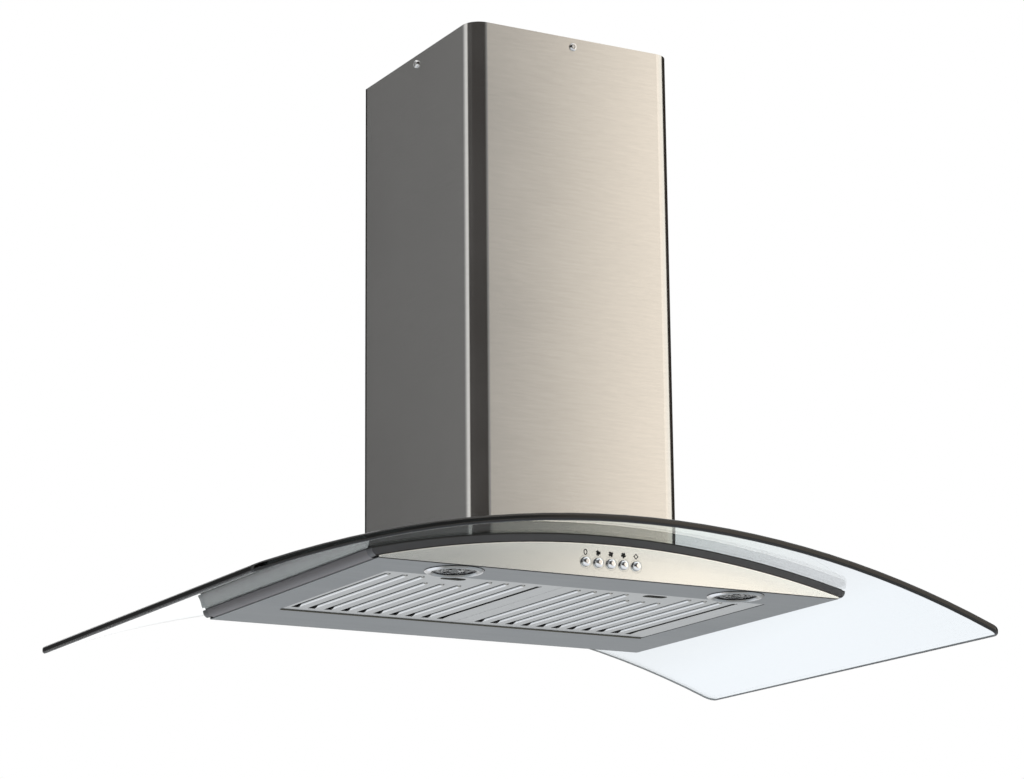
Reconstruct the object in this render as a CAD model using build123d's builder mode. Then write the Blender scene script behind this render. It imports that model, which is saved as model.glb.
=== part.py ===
from build123d import *
import math
import os

# Curved glass range hood for hanging over a cooking island, in millimetres.
# +Z is up, +Y points away from the side with the push buttons, and X runs along the glass.
# The origin is the centre of the ceiling plate's bolt holes, in the plane of the ceiling.
# The chimney hangs down from it, the glass arches over the body, and the filters face down.

os.makedirs("parts", exist_ok=True)

# ---------------------------------------------------------------- driving dimensions

hood_height = 629.0            # ceiling to the flat underside of the body
fit_gap = 0.3                  # air between covers and what they fit round
running_gap = 0.05             # radial play of a shaft or pin in its hole
sliding_gap = 0.2              # radial play of a plunger in its hole

# curved glass, bent about an axis along Y
glass_width = 900.0
glass_depth = 588.0
glass_thickness = 8.0
glass_radius = 1222.0          # underside of the arch
glass_side_rise = 10.97        # glass above the body's underside, at the body's sides
glass_corner_radius = 13.0
glass_edge_radius = 3.0        # rounded edge
glass_shift = 14.5             # centre of the glass behind the chimney's axis

# body under the glass
body_width = 581.0
body_depth = 424.0
body_shift = 4.3               # centre of the body behind the chimney's axis
body_sheet = 1.0               # tray and deck
panel_sheet = 1.2              # front and rear panels
side_tuck = 8.7                # how far the sides curve in from the glass to the underside
side_bulge = 1.8               # how far that curve swells outwards
panel_edge_radius = 1.0        # bend along a panel's lower edge
panel_seam = 1.0               # shadow gap between a panel and the tray
trim_height = 8.8
trim_depth = 12.0
trim_proud = 0.6
side_trim_width = 14.5
trim_foot = 4.0                # ledge of a side trim that rests on the tray
seal_thickness = 1.5
seal_width = 8.0
seal_inset = 2.0
tray_flange = 9.0              # height of the tray's front and rear flanges
deck_flange_bottom = 12.0      # lower edge of the deck's flanges above the underside
stud_radius = 1.5              # studs inside the panels, which hold the tray and the deck
stud_length = 6.0
stud_shoulder = 2.2            # radius of the shoulder that holds the tray off a panel
stud_nut_radius = 3.0
stud_nut_height = 2.4
tray_stud_rise = 5.0
deck_stud_rise = 16.5
tray_stud_places = (90.0, 213.0)
deck_stud_place = 130.0

# chimney covers
chimney_width = 260.0
chimney_depth = 261.0
chimney_sheet = 1.0
chimney_corner_radius = 20.0
cover_lap = 15.0               # rear cover's flanges inside the front cover
chimney_screw_drop = 10.5
screw_head_radius = 4.6
screw_head_height = 2.6
screw_head_dome = 2.2          # rounding of a screw's head
screw_shank_radius = 1.9
screw_cross_length = 5.2
screw_cross_width = 1.0
screw_cross_depth = 0.8
screw_length = 8.0

# ceiling plate
ceiling_sheet = 2.0
ceiling_flange = 26.0
ceiling_duct_diameter = 170.0
ceiling_hole_x = 220.0
ceiling_hole_y = 120.0
ceiling_hole_diameter = 9.0

# four angle posts between the ceiling plate and the blower box
post_leg = 20.0
post_sheet = 2.0
post_overlap = 130.0           # length of a post beside the blower box
post_foot = 26.0
post_bolt_radius = 2.5
post_bolt_head_radius = 4.5
post_bolt_head = 3.0
post_bolt_pitch = 90.0

# blower box above the glass
box_width = 210.0
box_height = 280.0
box_sheet = 1.0
box_flange = 18.0
box_flange_sheet = 1.5
gasket_thickness = 1.5
glass_bolt_radius = 4.0
glass_bolt_gap = 0.5
glass_bolt_head_radius = 6.5
glass_bolt_head = 5.0
glass_nut_height = 6.5

# fan, with its axis along X
wheel_radius = 60.0
wheel_width = 76.0
wheel_disc = 1.5
wheel_ring = 2.0
blade_count = 32
blade_depth = 12.0
blade_sheet = 1.1
blade_sweep = 7.0
hub_radius = 9.0
hub_length = 16.0
wheel_shift = -30.0            # wheel's axis along Y
wheel_drop = 160.0             # wheel's axis below the top of the blower box
shaft_radius = 4.0
scroll_wall = 2.0
scroll_gap = 4.0               # air between wheel and scroll, at its nearest
scroll_growth = 26.0           # how much wider the scroll is at the outlet
scroll_side_gap = 4.0
scroll_inlet_radius = 47.0
scroll_throat = 74.0           # depth of the outlet
motor_radius = 36.0
motor_length = 62.0
motor_start = 6.0              # motor's front face along X
motor_rear_boss = 14.0
motor_edge_radius = 4.0
shaft_end_gap = 1.0            # between the shaft's end and the motor's boss
shaft_lead = 2.0               # of the shaft beyond the wheel's hub
bracket_sheet = 2.0
bracket_arm = 12.0
bracket_arms = 3
bracket_hole_radius = 12.0

# duct collar with its two flaps
duct_diameter = 150.0
collar_sheet = 1.0
collar_height = 55.0
collar_base = 14.0
collar_base_sheet = 1.5
collar_ledge = 2.5
flap_height = 22.0             # flap pin above the collar's base
flap_sheet = 0.8
flap_edge_gap = 1.0
flap_split = 2.0               # from the pin's axis to a flap's straight edge
flap_pin_radius = 1.5
flap_knuckle_radius = 2.6
flap_knuckle = 10.0
flap_knuckle_gap = 0.4

# push buttons
button_count = 5
button_pitch = 15.5
button_row_x = -9.0            # middle button from the middle of the body
button_rise = 15.5             # above the underside
button_radius = 5.1
button_proud = 4.8
button_dome = 3.2
button_back = 2.0              # of the cap behind the panel's front face
button_travel = 3.0
button_hole_gap = 0.3
stem_radius = 3.0
stem_length = 20.0
switch_depth = 24.0
switch_height = 19.0
switch_margin = 8.0
switch_clearance = 2.0
switch_ear = 8.0

# lamps
lamp_side_inset = 117.0        # lamp's middle from the body's side, before the shift
lamp_inset = 32.8              # behind the body's front
lamp_shift = -5.0              # middle between the lamps from the middle of the body
bezel_radius = 31.8
bezel_proud = 2.6
bezel_inner_radius = 22.5
lamp_hole_radius = 27.0
lamp_sleeve = 6.0
lens_thickness = 2.5
lens_seat = 1.5                # of the lens on the bezel
lamp_can_flange = 2.0          # of the can over the tray
lamp_headroom = 1.0            # between a lamp's can and the deck
lamp_can_wall = 1.0
bulb_radius = 17.0
bulb_height = 9.0

# filter opening and filters
opening_width = 469.0
opening_inset = 64.5           # behind the body's front
opening_depth = 260.5
opening_shift = -6.5           # middle of the opening from the middle of the body
lip_sheet = 1.0
filter_recess = 0.4
filter_sheet = 1.0
filter_headroom = 1.3          # between a filter's upper corner and the deck
filter_side_gap = 0.8
filter_front_gap = 0.8
filter_rear_gap = 3.2
filter_split_x = -27.0         # joint between the two filters
filter_split_gap = 0.4
slot_pitch = 20.1
slot_width = 2.6
open_slot_width = 5.2          # of a filter's last slot, which has no lip
slot_edge_left = 26.1          # last slot's middle from the left filter's right edge
slot_edge_right = 31.1         # last slot's middle from the right filter's right edge
slot_spare_left = 4.0          # least from a slot's middle to the left filter's left edge
slot_spare_right = 8.0         # least from a slot's middle to the right filter's left edge
slot_front_border = 13.0
slot_rear_border = 13.1
notch_length = 22.0
notch_width = 6.5
slot_lip = 5.2                 # width of the rolled lip beside a slot
slot_lip_sag = 1.3
slot_lip_end = 3.0             # of a lip behind its slot's front end
hook_inset = 45.0              # a hook's middle from the filter's side
hook_width = 20.0
hook_reach = 5.0
hook_sheet = 1.2
hook_gap = 0.2
baffle_width = 13.0
baffle_depth = 4.0
baffle_sheet = 0.8
baffle_rise = 3.2              # above the filter's face
rail_width = 3.0

# finger latches, one a filter
latch_right_x = 93.0
latch_left_x = -156.0
latch_inset = 12.4             # pocket's middle behind the filter's front
latch_clear = 44.9             # slots beside the latch start this far back
latch_near = 28.0
pocket_width = 29.0
pocket_depth = 13.0
pocket_height = 7.0
pocket_wall = 1.2
pocket_ledge = 2.0             # of the latch's plate round the pocket
latch_tongue = 14.0
latch_sheet = 1.6
latch_reach = 3.5              # of the tongue over the tray's lip
latch_gap = 0.2

# electrical pieces beside the blower box
terminal_width = 70.0
terminal_height = 50.0
terminal_depth = 21.0
terminal_wall = 2.0
terminal_lid = 2.0
cable_hole_radius = 5.0
capacitor_radius = 10.0
capacitor_length = 52.0
capacitor_stud = 3.0

# ---------------------------------------------------------------- places worked out

underside = -hood_height
glass_rise = glass_side_rise + glass_radius - math.sqrt(glass_radius**2 - (body_width / 2) ** 2)
arch_axis = underside + glass_rise - glass_radius
radius_glass_top = glass_radius + glass_thickness
radius_trim_top = glass_radius - seal_thickness
radius_deck_top = radius_trim_top - trim_height
radius_deck_low = radius_deck_top - body_sheet
radius_flange_low = radius_glass_top + gasket_thickness
radius_flange_top = radius_flange_low + box_flange_sheet
radius_cover_low = radius_glass_top + fit_gap

body_front = body_shift - body_depth / 2
body_rear = body_shift + body_depth / 2
panel_front_back = body_front + panel_sheet
panel_rear_face = body_rear - panel_sheet
underside_half = body_width / 2 - side_tuck
glass_rear = glass_shift + glass_depth / 2

opening_front = body_front + opening_inset
opening_rear = opening_front + opening_depth
opening_left = opening_shift - opening_width / 2
opening_right = opening_shift + opening_width / 2
lip_top = underside + filter_recess + filter_sheet
filter_face = underside + filter_recess

box_half = box_width / 2
box_inner = box_half - box_sheet
flange_half = box_half + box_flange
bolt_place = box_half + box_flange / 2
box_top = arch_axis + radius_flange_top + box_height
wheel_axis = box_top - wheel_drop
collar_floor = box_top + collar_base_sheet
flap_axis = collar_floor + flap_height


def arch_height(x, radius):
    """Height of an arch of this radius at a distance x from the middle."""
    return arch_axis + math.sqrt(radius**2 - x**2)


filter_back = arch_height(max(-opening_left, opening_right), radius_deck_low) - filter_headroom
filter_height = filter_back - filter_face
lamp_x = body_width / 2 - lamp_side_inset
lamp_reach = lamp_x + abs(lamp_shift) + lamp_hole_radius
lamp_can_top = arch_height(lamp_reach, radius_deck_low) - lamp_headroom


def upright_plane(y):
    """Plane that faces the buttons' side, with its X along X and its Y along Z from the arch's axis."""
    return Plane(origin=(0, y, arch_axis), x_dir=(1, 0, 0), z_dir=(0, -1, 0))


def room_plane(y):
    """Plane that faces the buttons' side, with its Y height above the ceiling plane."""
    return Plane(origin=(0, y, 0), x_dir=(1, 0, 0), z_dir=(0, -1, 0))


def side_plane(x):
    """Plane that faces +X, with its X along Y and its Y along Z, centred on the wheel's axis."""
    return Plane(origin=(x, wheel_shift, wheel_axis), x_dir=(0, 1, 0), z_dir=(1, 0, 0))


def arch_band(low, high, half_width):
    """Face between two arches, cut upright at each side."""
    low_end = math.sqrt(low**2 - half_width**2)
    high_end = math.sqrt(high**2 - half_width**2)
    with BuildSketch() as band:
        with BuildLine():
            ThreePointArc((-half_width, low_end), (0, low), (half_width, low_end))
            Line((half_width, low_end), (half_width, high_end))
            ThreePointArc((half_width, high_end), (0, high), (-half_width, high_end))
            Line((-half_width, high_end), (-half_width, low_end))
        make_face()
    return band.sketch


def body_outline(radius_top):
    """Cross-section of the body up to an arch: flat below, with sides that curve out to the glass."""
    floor = underside - arch_axis
    foot = floor + body_sheet
    shoulder_x = body_width / 2
    shoulder = math.sqrt(radius_trim_top**2 - shoulder_x**2)
    middle_x = (underside_half + shoulder_x) / 2 + side_bulge
    middle = (foot + shoulder) / 2 - side_bulge
    with BuildSketch() as outline:
        with BuildLine():
            Line((-underside_half, floor), (underside_half, floor))
            Line((underside_half, floor), (underside_half, foot))
            ThreePointArc((underside_half, foot), (middle_x, middle), (shoulder_x, shoulder))
            Line((shoulder_x, shoulder), (shoulder_x, radius_glass_top))
            Line((shoulder_x, radius_glass_top), (-shoulder_x, radius_glass_top))
            Line((-shoulder_x, radius_glass_top), (-shoulder_x, shoulder))
            ThreePointArc((-shoulder_x, shoulder), (-middle_x, middle), (-underside_half, foot))
            Line((-underside_half, foot), (-underside_half, floor))
        make_face()
        Circle(radius_top, mode=Mode.INTERSECT)
    return outline.sketch


def save(builder, name):
    """Label the finished piece and write its file."""
    builder.part.label = name
    export_step(builder.part, f"parts/{name}.step")


# ---------------------------------------------------------------- glass canopy

with BuildPart() as glass_canopy:
    with BuildSketch(upright_plane(glass_rear)):
        add(arch_band(glass_radius, radius_glass_top, glass_width / 2 + 1))
    extrude(amount=glass_depth)
    with BuildSketch(Plane.XY.offset(arch_axis)):
        with Locations((0, glass_shift)):
            RectangleRounded(glass_width, glass_depth, glass_corner_radius)
    extrude(amount=2 * glass_radius, mode=Mode.INTERSECT)
    with BuildSketch(Plane.XY.offset(arch_axis)):
        Rectangle(2 * box_inner, 2 * box_inner)
        with GridLocations(2 * bolt_place, 2 * bolt_place, 2, 2):
            Circle(glass_bolt_radius + glass_bolt_gap)
    extrude(amount=2 * glass_radius, mode=Mode.SUBTRACT)
    sides = glass_canopy.edges().filter_by(lambda edge: edge.length > glass_depth / 2)
    corners = glass_canopy.edges().filter_by(
        lambda edge: glass_corner_radius < edge.length < 2 * glass_corner_radius
        and abs(edge.center().Y - glass_shift) > glass_depth / 2 - glass_corner_radius)
    fillet(sides + corners, glass_edge_radius)
save(glass_canopy, "glass_canopy")

# ---------------------------------------------------------------- rings clamped round the cut-out


def clamp_ring(low, high, hole_radius):
    """Arched frame round the glass's cut-out, with its four bolt holes."""
    with BuildPart() as ring:
        with BuildSketch(upright_plane(flange_half)):
            add(arch_band(low, high, flange_half))
        extrude(amount=2 * flange_half)
        with BuildSketch(Plane.XY.offset(arch_axis)):
            Rectangle(2 * box_inner, 2 * box_inner)
            with GridLocations(2 * bolt_place, 2 * bolt_place, 2, 2):
                Circle(hole_radius)
        extrude(amount=2 * glass_radius, mode=Mode.SUBTRACT)
    return ring


bolt_hole_radius = glass_bolt_radius + glass_bolt_gap
glass_gasket_top = clamp_ring(radius_glass_top, radius_flange_low, bolt_hole_radius)
save(glass_gasket_top, "glass_gasket_top")

glass_gasket_bottom = clamp_ring(radius_trim_top, glass_radius, bolt_hole_radius)
save(glass_gasket_bottom, "glass_gasket_bottom")

spacer_frame = clamp_ring(radius_deck_top, radius_trim_top, bolt_hole_radius)
save(spacer_frame, "spacer_frame")

# ---------------------------------------------------------------- bolts through the glass

bolt_seat = arch_height(bolt_place - glass_bolt_head_radius, radius_flange_top)
nut_seat = arch_height(bolt_place + glass_bolt_head_radius, radius_deck_low)

with BuildPart() as glass_bolts:
    with BuildSketch(Plane.XY.offset(bolt_seat)):
        with GridLocations(2 * bolt_place, 2 * bolt_place, 2, 2):
            RegularPolygon(glass_bolt_head_radius, 6)
    extrude(amount=glass_bolt_head)
    with BuildSketch(Plane.XY.offset(bolt_seat)):
        with GridLocations(2 * bolt_place, 2 * bolt_place, 2, 2):
            Circle(glass_bolt_radius)
    extrude(amount=nut_seat - glass_nut_height - glass_bolt_gap - bolt_seat)
save(glass_bolts, "glass_bolts")

with BuildPart() as glass_nuts:
    with BuildSketch(Plane.XY.offset(nut_seat)):
        with GridLocations(2 * bolt_place, 2 * bolt_place, 2, 2):
            RegularPolygon(glass_bolt_head_radius, 6)
            Circle(glass_bolt_radius, mode=Mode.SUBTRACT)
    extrude(amount=-glass_nut_height)
save(glass_nuts, "glass_nuts")

# ---------------------------------------------------------------- studs that join the body's sheets

tray_studs = [(side * x, underside + tray_stud_rise) for x in tray_stud_places for side in (-1, 1)]
deck_studs = [(side * deck_stud_place, underside + deck_stud_rise) for side in (-1, 1)]


def stud_circles(radius):
    """One circle at each stud, in the sketch that is open."""
    with Locations(*tray_studs, *deck_studs):
        Circle(radius)


# ---------------------------------------------------------------- deck under the glass

deck_half = body_width / 2 - side_trim_width - fit_gap
button_row = [button_row_x + button_pitch * (i - (button_count - 1) / 2) for i in range(button_count)]
switch_width = button_pitch * (button_count - 1) + 2 * (button_radius + switch_margin)
switch_window = switch_width + 2 * switch_ear + 2 * switch_clearance
flange_chord = underside + deck_flange_bottom - arch_axis
flange_reach = math.sqrt(radius_deck_low**2 - flange_chord**2)

with BuildPart() as canopy_deck:
    with BuildSketch(upright_plane(panel_rear_face)):
        add(arch_band(radius_deck_low, radius_deck_top, deck_half))
    extrude(amount=panel_rear_face - panel_front_back)
    with BuildSketch(upright_plane(panel_rear_face), upright_plane(panel_front_back + body_sheet)):
        with BuildLine():
            ThreePointArc((-flange_reach, flange_chord), (0, radius_deck_low), (flange_reach, flange_chord))
            Line((flange_reach, flange_chord), (-flange_reach, flange_chord))
        make_face()
    extrude(amount=body_sheet)
    with BuildSketch(Plane.XY.offset(underside)):
        Rectangle(2 * box_inner, 2 * box_inner)
        with GridLocations(2 * bolt_place, 2 * bolt_place, 2, 2):
            Circle(bolt_hole_radius)
    extrude(amount=2 * glass_rise, mode=Mode.SUBTRACT)
    with BuildSketch(room_plane(panel_front_back + body_sheet + sliding_gap)):
        with Locations((button_row_x, underside + button_rise)):
            Rectangle(switch_window, switch_height + 2 * switch_clearance)
    extrude(amount=2 * body_sheet, mode=Mode.SUBTRACT)
    with BuildSketch(room_plane(body_rear)):
        stud_circles(stud_radius)
    extrude(amount=body_depth, mode=Mode.SUBTRACT)
save(canopy_deck, "canopy_deck")

# ---------------------------------------------------------------- underside tray

lamp_places = [(lamp_shift + side * lamp_x, body_front + lamp_inset) for side in (-1, 1)]
opening_middle = (opening_shift, (opening_front + opening_rear) / 2)
tray_front = panel_front_back + panel_seam
tray_rear = panel_rear_face - panel_seam
tray_middle = (0, (tray_front + tray_rear) / 2)
flange_length = 2 * (flange_reach - trim_foot)

with BuildPart() as canopy_tray:
    with BuildSketch(Plane.XY.offset(underside)):
        with Locations(tray_middle):
            Rectangle(2 * underside_half, tray_rear - tray_front)
    extrude(amount=body_sheet)
    with BuildSketch(Plane.XY.offset(underside)):
        with Locations(opening_middle):
            Rectangle(opening_width + 2 * lip_sheet, opening_depth + 2 * lip_sheet)
    extrude(amount=filter_recess + filter_sheet)
    with BuildSketch(Plane.XY.offset(underside)):
        with Locations((0, tray_front + body_sheet / 2), (0, tray_rear - body_sheet / 2)):
            Rectangle(flange_length, body_sheet)
    extrude(amount=tray_flange)
    with BuildSketch(Plane.XY.offset(underside)):
        with Locations(opening_middle):
            Rectangle(opening_width, opening_depth)
        with Locations(*lamp_places):
            Circle(lamp_hole_radius)
    extrude(amount=glass_rise, mode=Mode.SUBTRACT)
    with BuildSketch(room_plane(tray_front + body_sheet + sliding_gap)):
        with Locations((button_row_x, underside + button_rise)):
            Rectangle(switch_window, switch_height + 2 * switch_clearance)
    extrude(amount=2 * body_sheet, mode=Mode.SUBTRACT)
    with BuildSketch(room_plane(tray_rear), room_plane(tray_front + body_sheet)):
        stud_circles(stud_radius)
    extrude(amount=body_sheet, mode=Mode.SUBTRACT)
save(canopy_tray, "canopy_tray")

# ---------------------------------------------------------------- front and rear panels

with BuildPart() as front_panel:
    with BuildSketch(upright_plane(panel_front_back)):
        add(body_outline(radius_deck_top))
        with BuildSketch(mode=Mode.PRIVATE) as middle_strip:
            Rectangle(2 * underside_half, 4 * glass_radius)
        add(middle_strip.sketch, mode=Mode.INTERSECT)
    extrude(amount=panel_sheet)
    with BuildSketch(room_plane(panel_front_back)):
        with Locations(*[(x, underside + button_rise) for x in button_row]):
            Circle(button_radius + button_hole_gap)
    extrude(amount=panel_sheet, mode=Mode.SUBTRACT)
    fillet(front_panel.edges().group_by(Axis.Z)[0].group_by(Axis.Y)[0], panel_edge_radius)
    with BuildSketch(room_plane(panel_front_back + stud_length)):
        stud_circles(stud_radius)
    extrude(amount=stud_length)
    with BuildSketch(room_plane(tray_front)):
        with Locations(*tray_studs):
            Circle(stud_shoulder)
    extrude(amount=panel_seam)
save(front_panel, "front_panel")

with BuildPart() as rear_panel:
    with BuildSketch(upright_plane(body_rear)):
        add(body_outline(radius_deck_top))
        with BuildSketch(mode=Mode.PRIVATE) as middle_strip:
            Rectangle(2 * underside_half, 4 * glass_radius)
        add(middle_strip.sketch, mode=Mode.INTERSECT)
    extrude(amount=panel_sheet)
    fillet(rear_panel.edges().group_by(Axis.Z)[0].group_by(Axis.Y)[-1], panel_edge_radius)
    with BuildSketch(room_plane(panel_rear_face)):
        stud_circles(stud_radius)
    extrude(amount=stud_length)
    with BuildSketch(room_plane(panel_rear_face)):
        with Locations(*tray_studs):
            Circle(stud_shoulder)
    extrude(amount=panel_seam)
save(rear_panel, "rear_panel")

with BuildPart() as body_nuts:
    nut_seats = (
        (tray_studs, tray_front + body_sheet, tray_rear - body_sheet),
        (deck_studs, panel_front_back + body_sheet, panel_rear_face - body_sheet),
    )
    for places, front_seat, rear_seat in nut_seats:
        with BuildSketch(room_plane(front_seat + stud_nut_height), room_plane(rear_seat)):
            with Locations(*places):
                RegularPolygon(stud_nut_radius, 6)
                Circle(stud_radius, mode=Mode.SUBTRACT)
        extrude(amount=stud_nut_height)
save(body_nuts, "body_nuts")

# ---------------------------------------------------------------- trims round the top of the body

with BuildPart() as front_trim:
    with BuildSketch(upright_plane(body_front + trim_depth)):
        add(body_outline(radius_trim_top))
        Circle(radius_deck_top, mode=Mode.SUBTRACT)
    extrude(amount=trim_depth + trim_proud)
save(front_trim, "front_trim")

with BuildPart() as rear_trim:
    with BuildSketch(upright_plane(body_rear + trim_proud)):
        add(body_outline(radius_trim_top))
        Circle(radius_deck_top, mode=Mode.SUBTRACT)
    extrude(amount=trim_depth + trim_proud)
save(rear_trim, "rear_trim")

side_trim_inner = body_width / 2 - side_trim_width
side_trim_length = body_depth - 2 * trim_depth
tray_face = underside + body_sheet - arch_axis
foot_height = math.sqrt(radius_deck_low**2 - side_trim_inner**2) - tray_face - fit_gap

for name, side in (("left_trim", -1), ("right_trim", 1)):
    with BuildPart() as side_trim:
        with BuildSketch(upright_plane(body_rear - trim_depth)):
            with Locations((side * (side_trim_inner + side_trim_width), tray_face)):
                Rectangle(2 * side_trim_width, 4 * glass_rise, align=(Align.CENTER, Align.MIN))
            add(body_outline(radius_trim_top), mode=Mode.INTERSECT)
            with Locations((side * (side_trim_inner - trim_foot / 2), tray_face)):
                Rectangle(trim_foot, foot_height, align=(Align.CENTER, Align.MIN))
        extrude(amount=side_trim_length)
    save(side_trim, name)

with BuildPart() as glass_seal:
    with BuildSketch(upright_plane(body_rear - seal_inset)):
        add(arch_band(radius_trim_top, glass_radius, body_width / 2 - seal_inset))
    extrude(amount=body_depth - 2 * seal_inset)
    with BuildSketch(Plane.XY.offset(arch_axis)):
        with Locations((0, body_shift)):
            seal_cut = 2 * (seal_inset + seal_width)
            Rectangle(body_width - seal_cut, body_depth - seal_cut)
    extrude(amount=2 * glass_radius, mode=Mode.SUBTRACT)
save(glass_seal, "glass_seal")

# ---------------------------------------------------------------- blower box

with BuildPart() as blower_box:
    with BuildSketch(Plane.XY.offset(arch_axis)):
        Rectangle(box_width, box_width)
    extrude(amount=box_top - arch_axis)
    with BuildSketch(upright_plane(flange_half)):
        Circle(radius_flange_low)
    extrude(amount=2 * flange_half, mode=Mode.SUBTRACT)
    with BuildSketch(upright_plane(flange_half)):
        add(arch_band(radius_flange_low, radius_flange_top, flange_half))
    extrude(amount=2 * flange_half)
    with BuildSketch(Plane.XY.offset(arch_axis)):
        Rectangle(2 * box_inner, 2 * box_inner)
    extrude(amount=box_top - box_sheet - arch_axis, mode=Mode.SUBTRACT)
    with BuildSketch(Plane.XY.offset(arch_axis)):
        with GridLocations(2 * bolt_place, 2 * bolt_place, 2, 2):
            Circle(bolt_hole_radius)
    extrude(amount=radius_flange_top, mode=Mode.SUBTRACT)
    outlet_rear = wheel_shift + wheel_radius + scroll_gap + scroll_growth
    outlet_front = outlet_rear - scroll_throat
    outlet_half = wheel_width / 2 + scroll_side_gap
    with BuildSketch(Plane.XY.offset(box_top)):
        with Locations((0, (outlet_front + outlet_rear) / 2)):
            Rectangle(2 * outlet_half, outlet_rear - outlet_front)
    extrude(amount=-box_sheet, mode=Mode.SUBTRACT)
save(blower_box, "blower_box")

# ---------------------------------------------------------------- scroll housing, in two halves

scroll_start = wheel_radius + scroll_gap
scroll_end = scroll_start + scroll_growth
scroll_top = wheel_drop - box_sheet
tongue_x = scroll_end - scroll_throat


def scroll_face(extra):
    """Spiral round the wheel with a straight outlet going up, grown outwards by a wall."""
    start, end = scroll_start + extra, scroll_end + extra
    left = start + scroll_growth / 4
    below = start + scroll_growth / 2
    with BuildSketch() as face:
        with BuildLine():
            Line((end, 0), (end, scroll_top))
            Line((end, scroll_top), (tongue_x - extra, scroll_top))
            Line((tongue_x - extra, scroll_top), (tongue_x - extra, start))
            Line((tongue_x - extra, start), (0, start))
            EllipticalCenterArc((0, 0), left, start, start_angle=90, arc_size=90)
            EllipticalCenterArc((0, 0), left, below, start_angle=180, arc_size=90)
            EllipticalCenterArc((0, 0), end, below, start_angle=270, arc_size=90)
        make_face()
    return face.sketch


for name, side in (("scroll_left", -1), ("scroll_right", 1)):
    outer_x = side * (outlet_half + scroll_wall)
    with BuildPart() as scroll:
        with BuildSketch(side_plane(0)):
            add(scroll_face(scroll_wall))
        extrude(amount=outer_x)
        with BuildSketch(side_plane(0)):
            add(scroll_face(0))
        extrude(amount=side * outlet_half, mode=Mode.SUBTRACT)
        with BuildSketch(side_plane(0)):
            Circle(scroll_inlet_radius)
        extrude(amount=outer_x, mode=Mode.SUBTRACT)
    save(scroll, name)

# ---------------------------------------------------------------- fan wheel and its shaft

blade_inner = wheel_radius - blade_depth
disc_x = -wheel_disc / 2

with BuildPart() as impeller:
    with BuildSketch(side_plane(-wheel_width / 2)):
        with PolarLocations(0, blade_count):
            with BuildLine():
                tip = (wheel_radius - blade_sheet, blade_sweep)
                bow = (blade_inner + blade_depth / 2, blade_sweep / 4)
                Line((blade_inner, 0), (blade_inner, blade_sheet))
                ThreePointArc((blade_inner, blade_sheet), (bow[0], bow[1] + blade_sheet),
                              (tip[0], tip[1] + blade_sheet))
                Line((tip[0], tip[1] + blade_sheet), tip)
                ThreePointArc(tip, bow, (blade_inner, 0))
            make_face()
    extrude(amount=wheel_width)
    with BuildSketch(side_plane(-wheel_width / 2), side_plane(wheel_width / 2 - wheel_ring)):
        Circle(wheel_radius)
        Circle(blade_inner + blade_depth / 2, mode=Mode.SUBTRACT)
    extrude(amount=wheel_ring)
    with BuildSketch(side_plane(disc_x)):
        Circle(wheel_radius - blade_sheet)
    extrude(amount=wheel_disc)
    with BuildSketch(side_plane(disc_x - hub_length)):
        Circle(hub_radius)
    extrude(amount=hub_length)
    with BuildSketch(side_plane(disc_x - hub_length)):
        Circle(shaft_radius)
    extrude(amount=hub_length + wheel_disc, mode=Mode.SUBTRACT)
save(impeller, "impeller")

shaft_front = disc_x - hub_length - shaft_lead
shaft_rear = motor_start + motor_length - motor_rear_boss - shaft_end_gap

with BuildPart() as motor_shaft:
    with BuildSketch(side_plane(shaft_front)):
        Circle(shaft_radius)
    extrude(amount=shaft_rear - shaft_front)
save(motor_shaft, "motor_shaft")

with BuildPart() as motor:
    with BuildSketch(side_plane(motor_start)):
        Circle(motor_radius)
    extrude(amount=motor_length)
    fillet(motor.edges().filter_by(GeomType.CIRCLE), motor_edge_radius)
    with BuildSketch(side_plane(motor_start)):
        Circle(shaft_radius + running_gap)
    extrude(amount=motor_length - motor_rear_boss, mode=Mode.SUBTRACT)
save(motor, "motor")

motor_back = motor_start + motor_length
scroll_side = outlet_half + scroll_wall
arm_reach = scroll_inlet_radius + bracket_arm

with BuildPart() as motor_bracket:
    with BuildSketch(side_plane(motor_back)):
        Circle(motor_radius - bracket_arm / 2)
        with PolarLocations(0, bracket_arms, start_angle=90):
            Rectangle(arm_reach, bracket_arm, align=(Align.MIN, Align.CENTER))
        Circle(bracket_hole_radius, mode=Mode.SUBTRACT)
    extrude(amount=bracket_sheet)
    with BuildSketch(side_plane(scroll_side)):
        with PolarLocations(arm_reach - bracket_sheet / 2, bracket_arms, start_angle=90):
            Rectangle(bracket_sheet, bracket_arm)
    extrude(amount=motor_back - scroll_side)
save(motor_bracket, "motor_bracket")

# ---------------------------------------------------------------- duct collar, pin and flaps

collar_outer = duct_diameter / 2
collar_inner = collar_outer - collar_sheet
flap_radius = collar_inner - flap_edge_gap
pin_half = collar_outer
knuckle_row = [(i - 1.5) * 3 * flap_knuckle for i in range(4)]

with BuildPart() as duct_collar:
    with BuildSketch(Plane.XY.offset(box_top)):
        Circle(collar_outer + collar_base)
        Circle(collar_inner, mode=Mode.SUBTRACT)
    extrude(amount=collar_base_sheet)
    with BuildSketch(Plane.XY.offset(collar_floor)):
        Circle(collar_outer)
        Circle(collar_inner, mode=Mode.SUBTRACT)
    extrude(amount=collar_height)
    with BuildSketch(Plane.XY.offset(flap_axis - flap_sheet / 2 - hook_gap - collar_sheet)):
        Circle(collar_inner + collar_sheet / 2)
        Circle(collar_inner - collar_ledge, mode=Mode.SUBTRACT)
        Rectangle(4 * flap_knuckle_radius, duct_diameter, mode=Mode.SUBTRACT)
    extrude(amount=collar_sheet)
    with BuildSketch(room_plane(duct_diameter)):
        with Locations((0, flap_axis)):
            Circle(flap_pin_radius)
    extrude(amount=2 * duct_diameter, mode=Mode.SUBTRACT)
save(duct_collar, "duct_collar")

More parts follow.
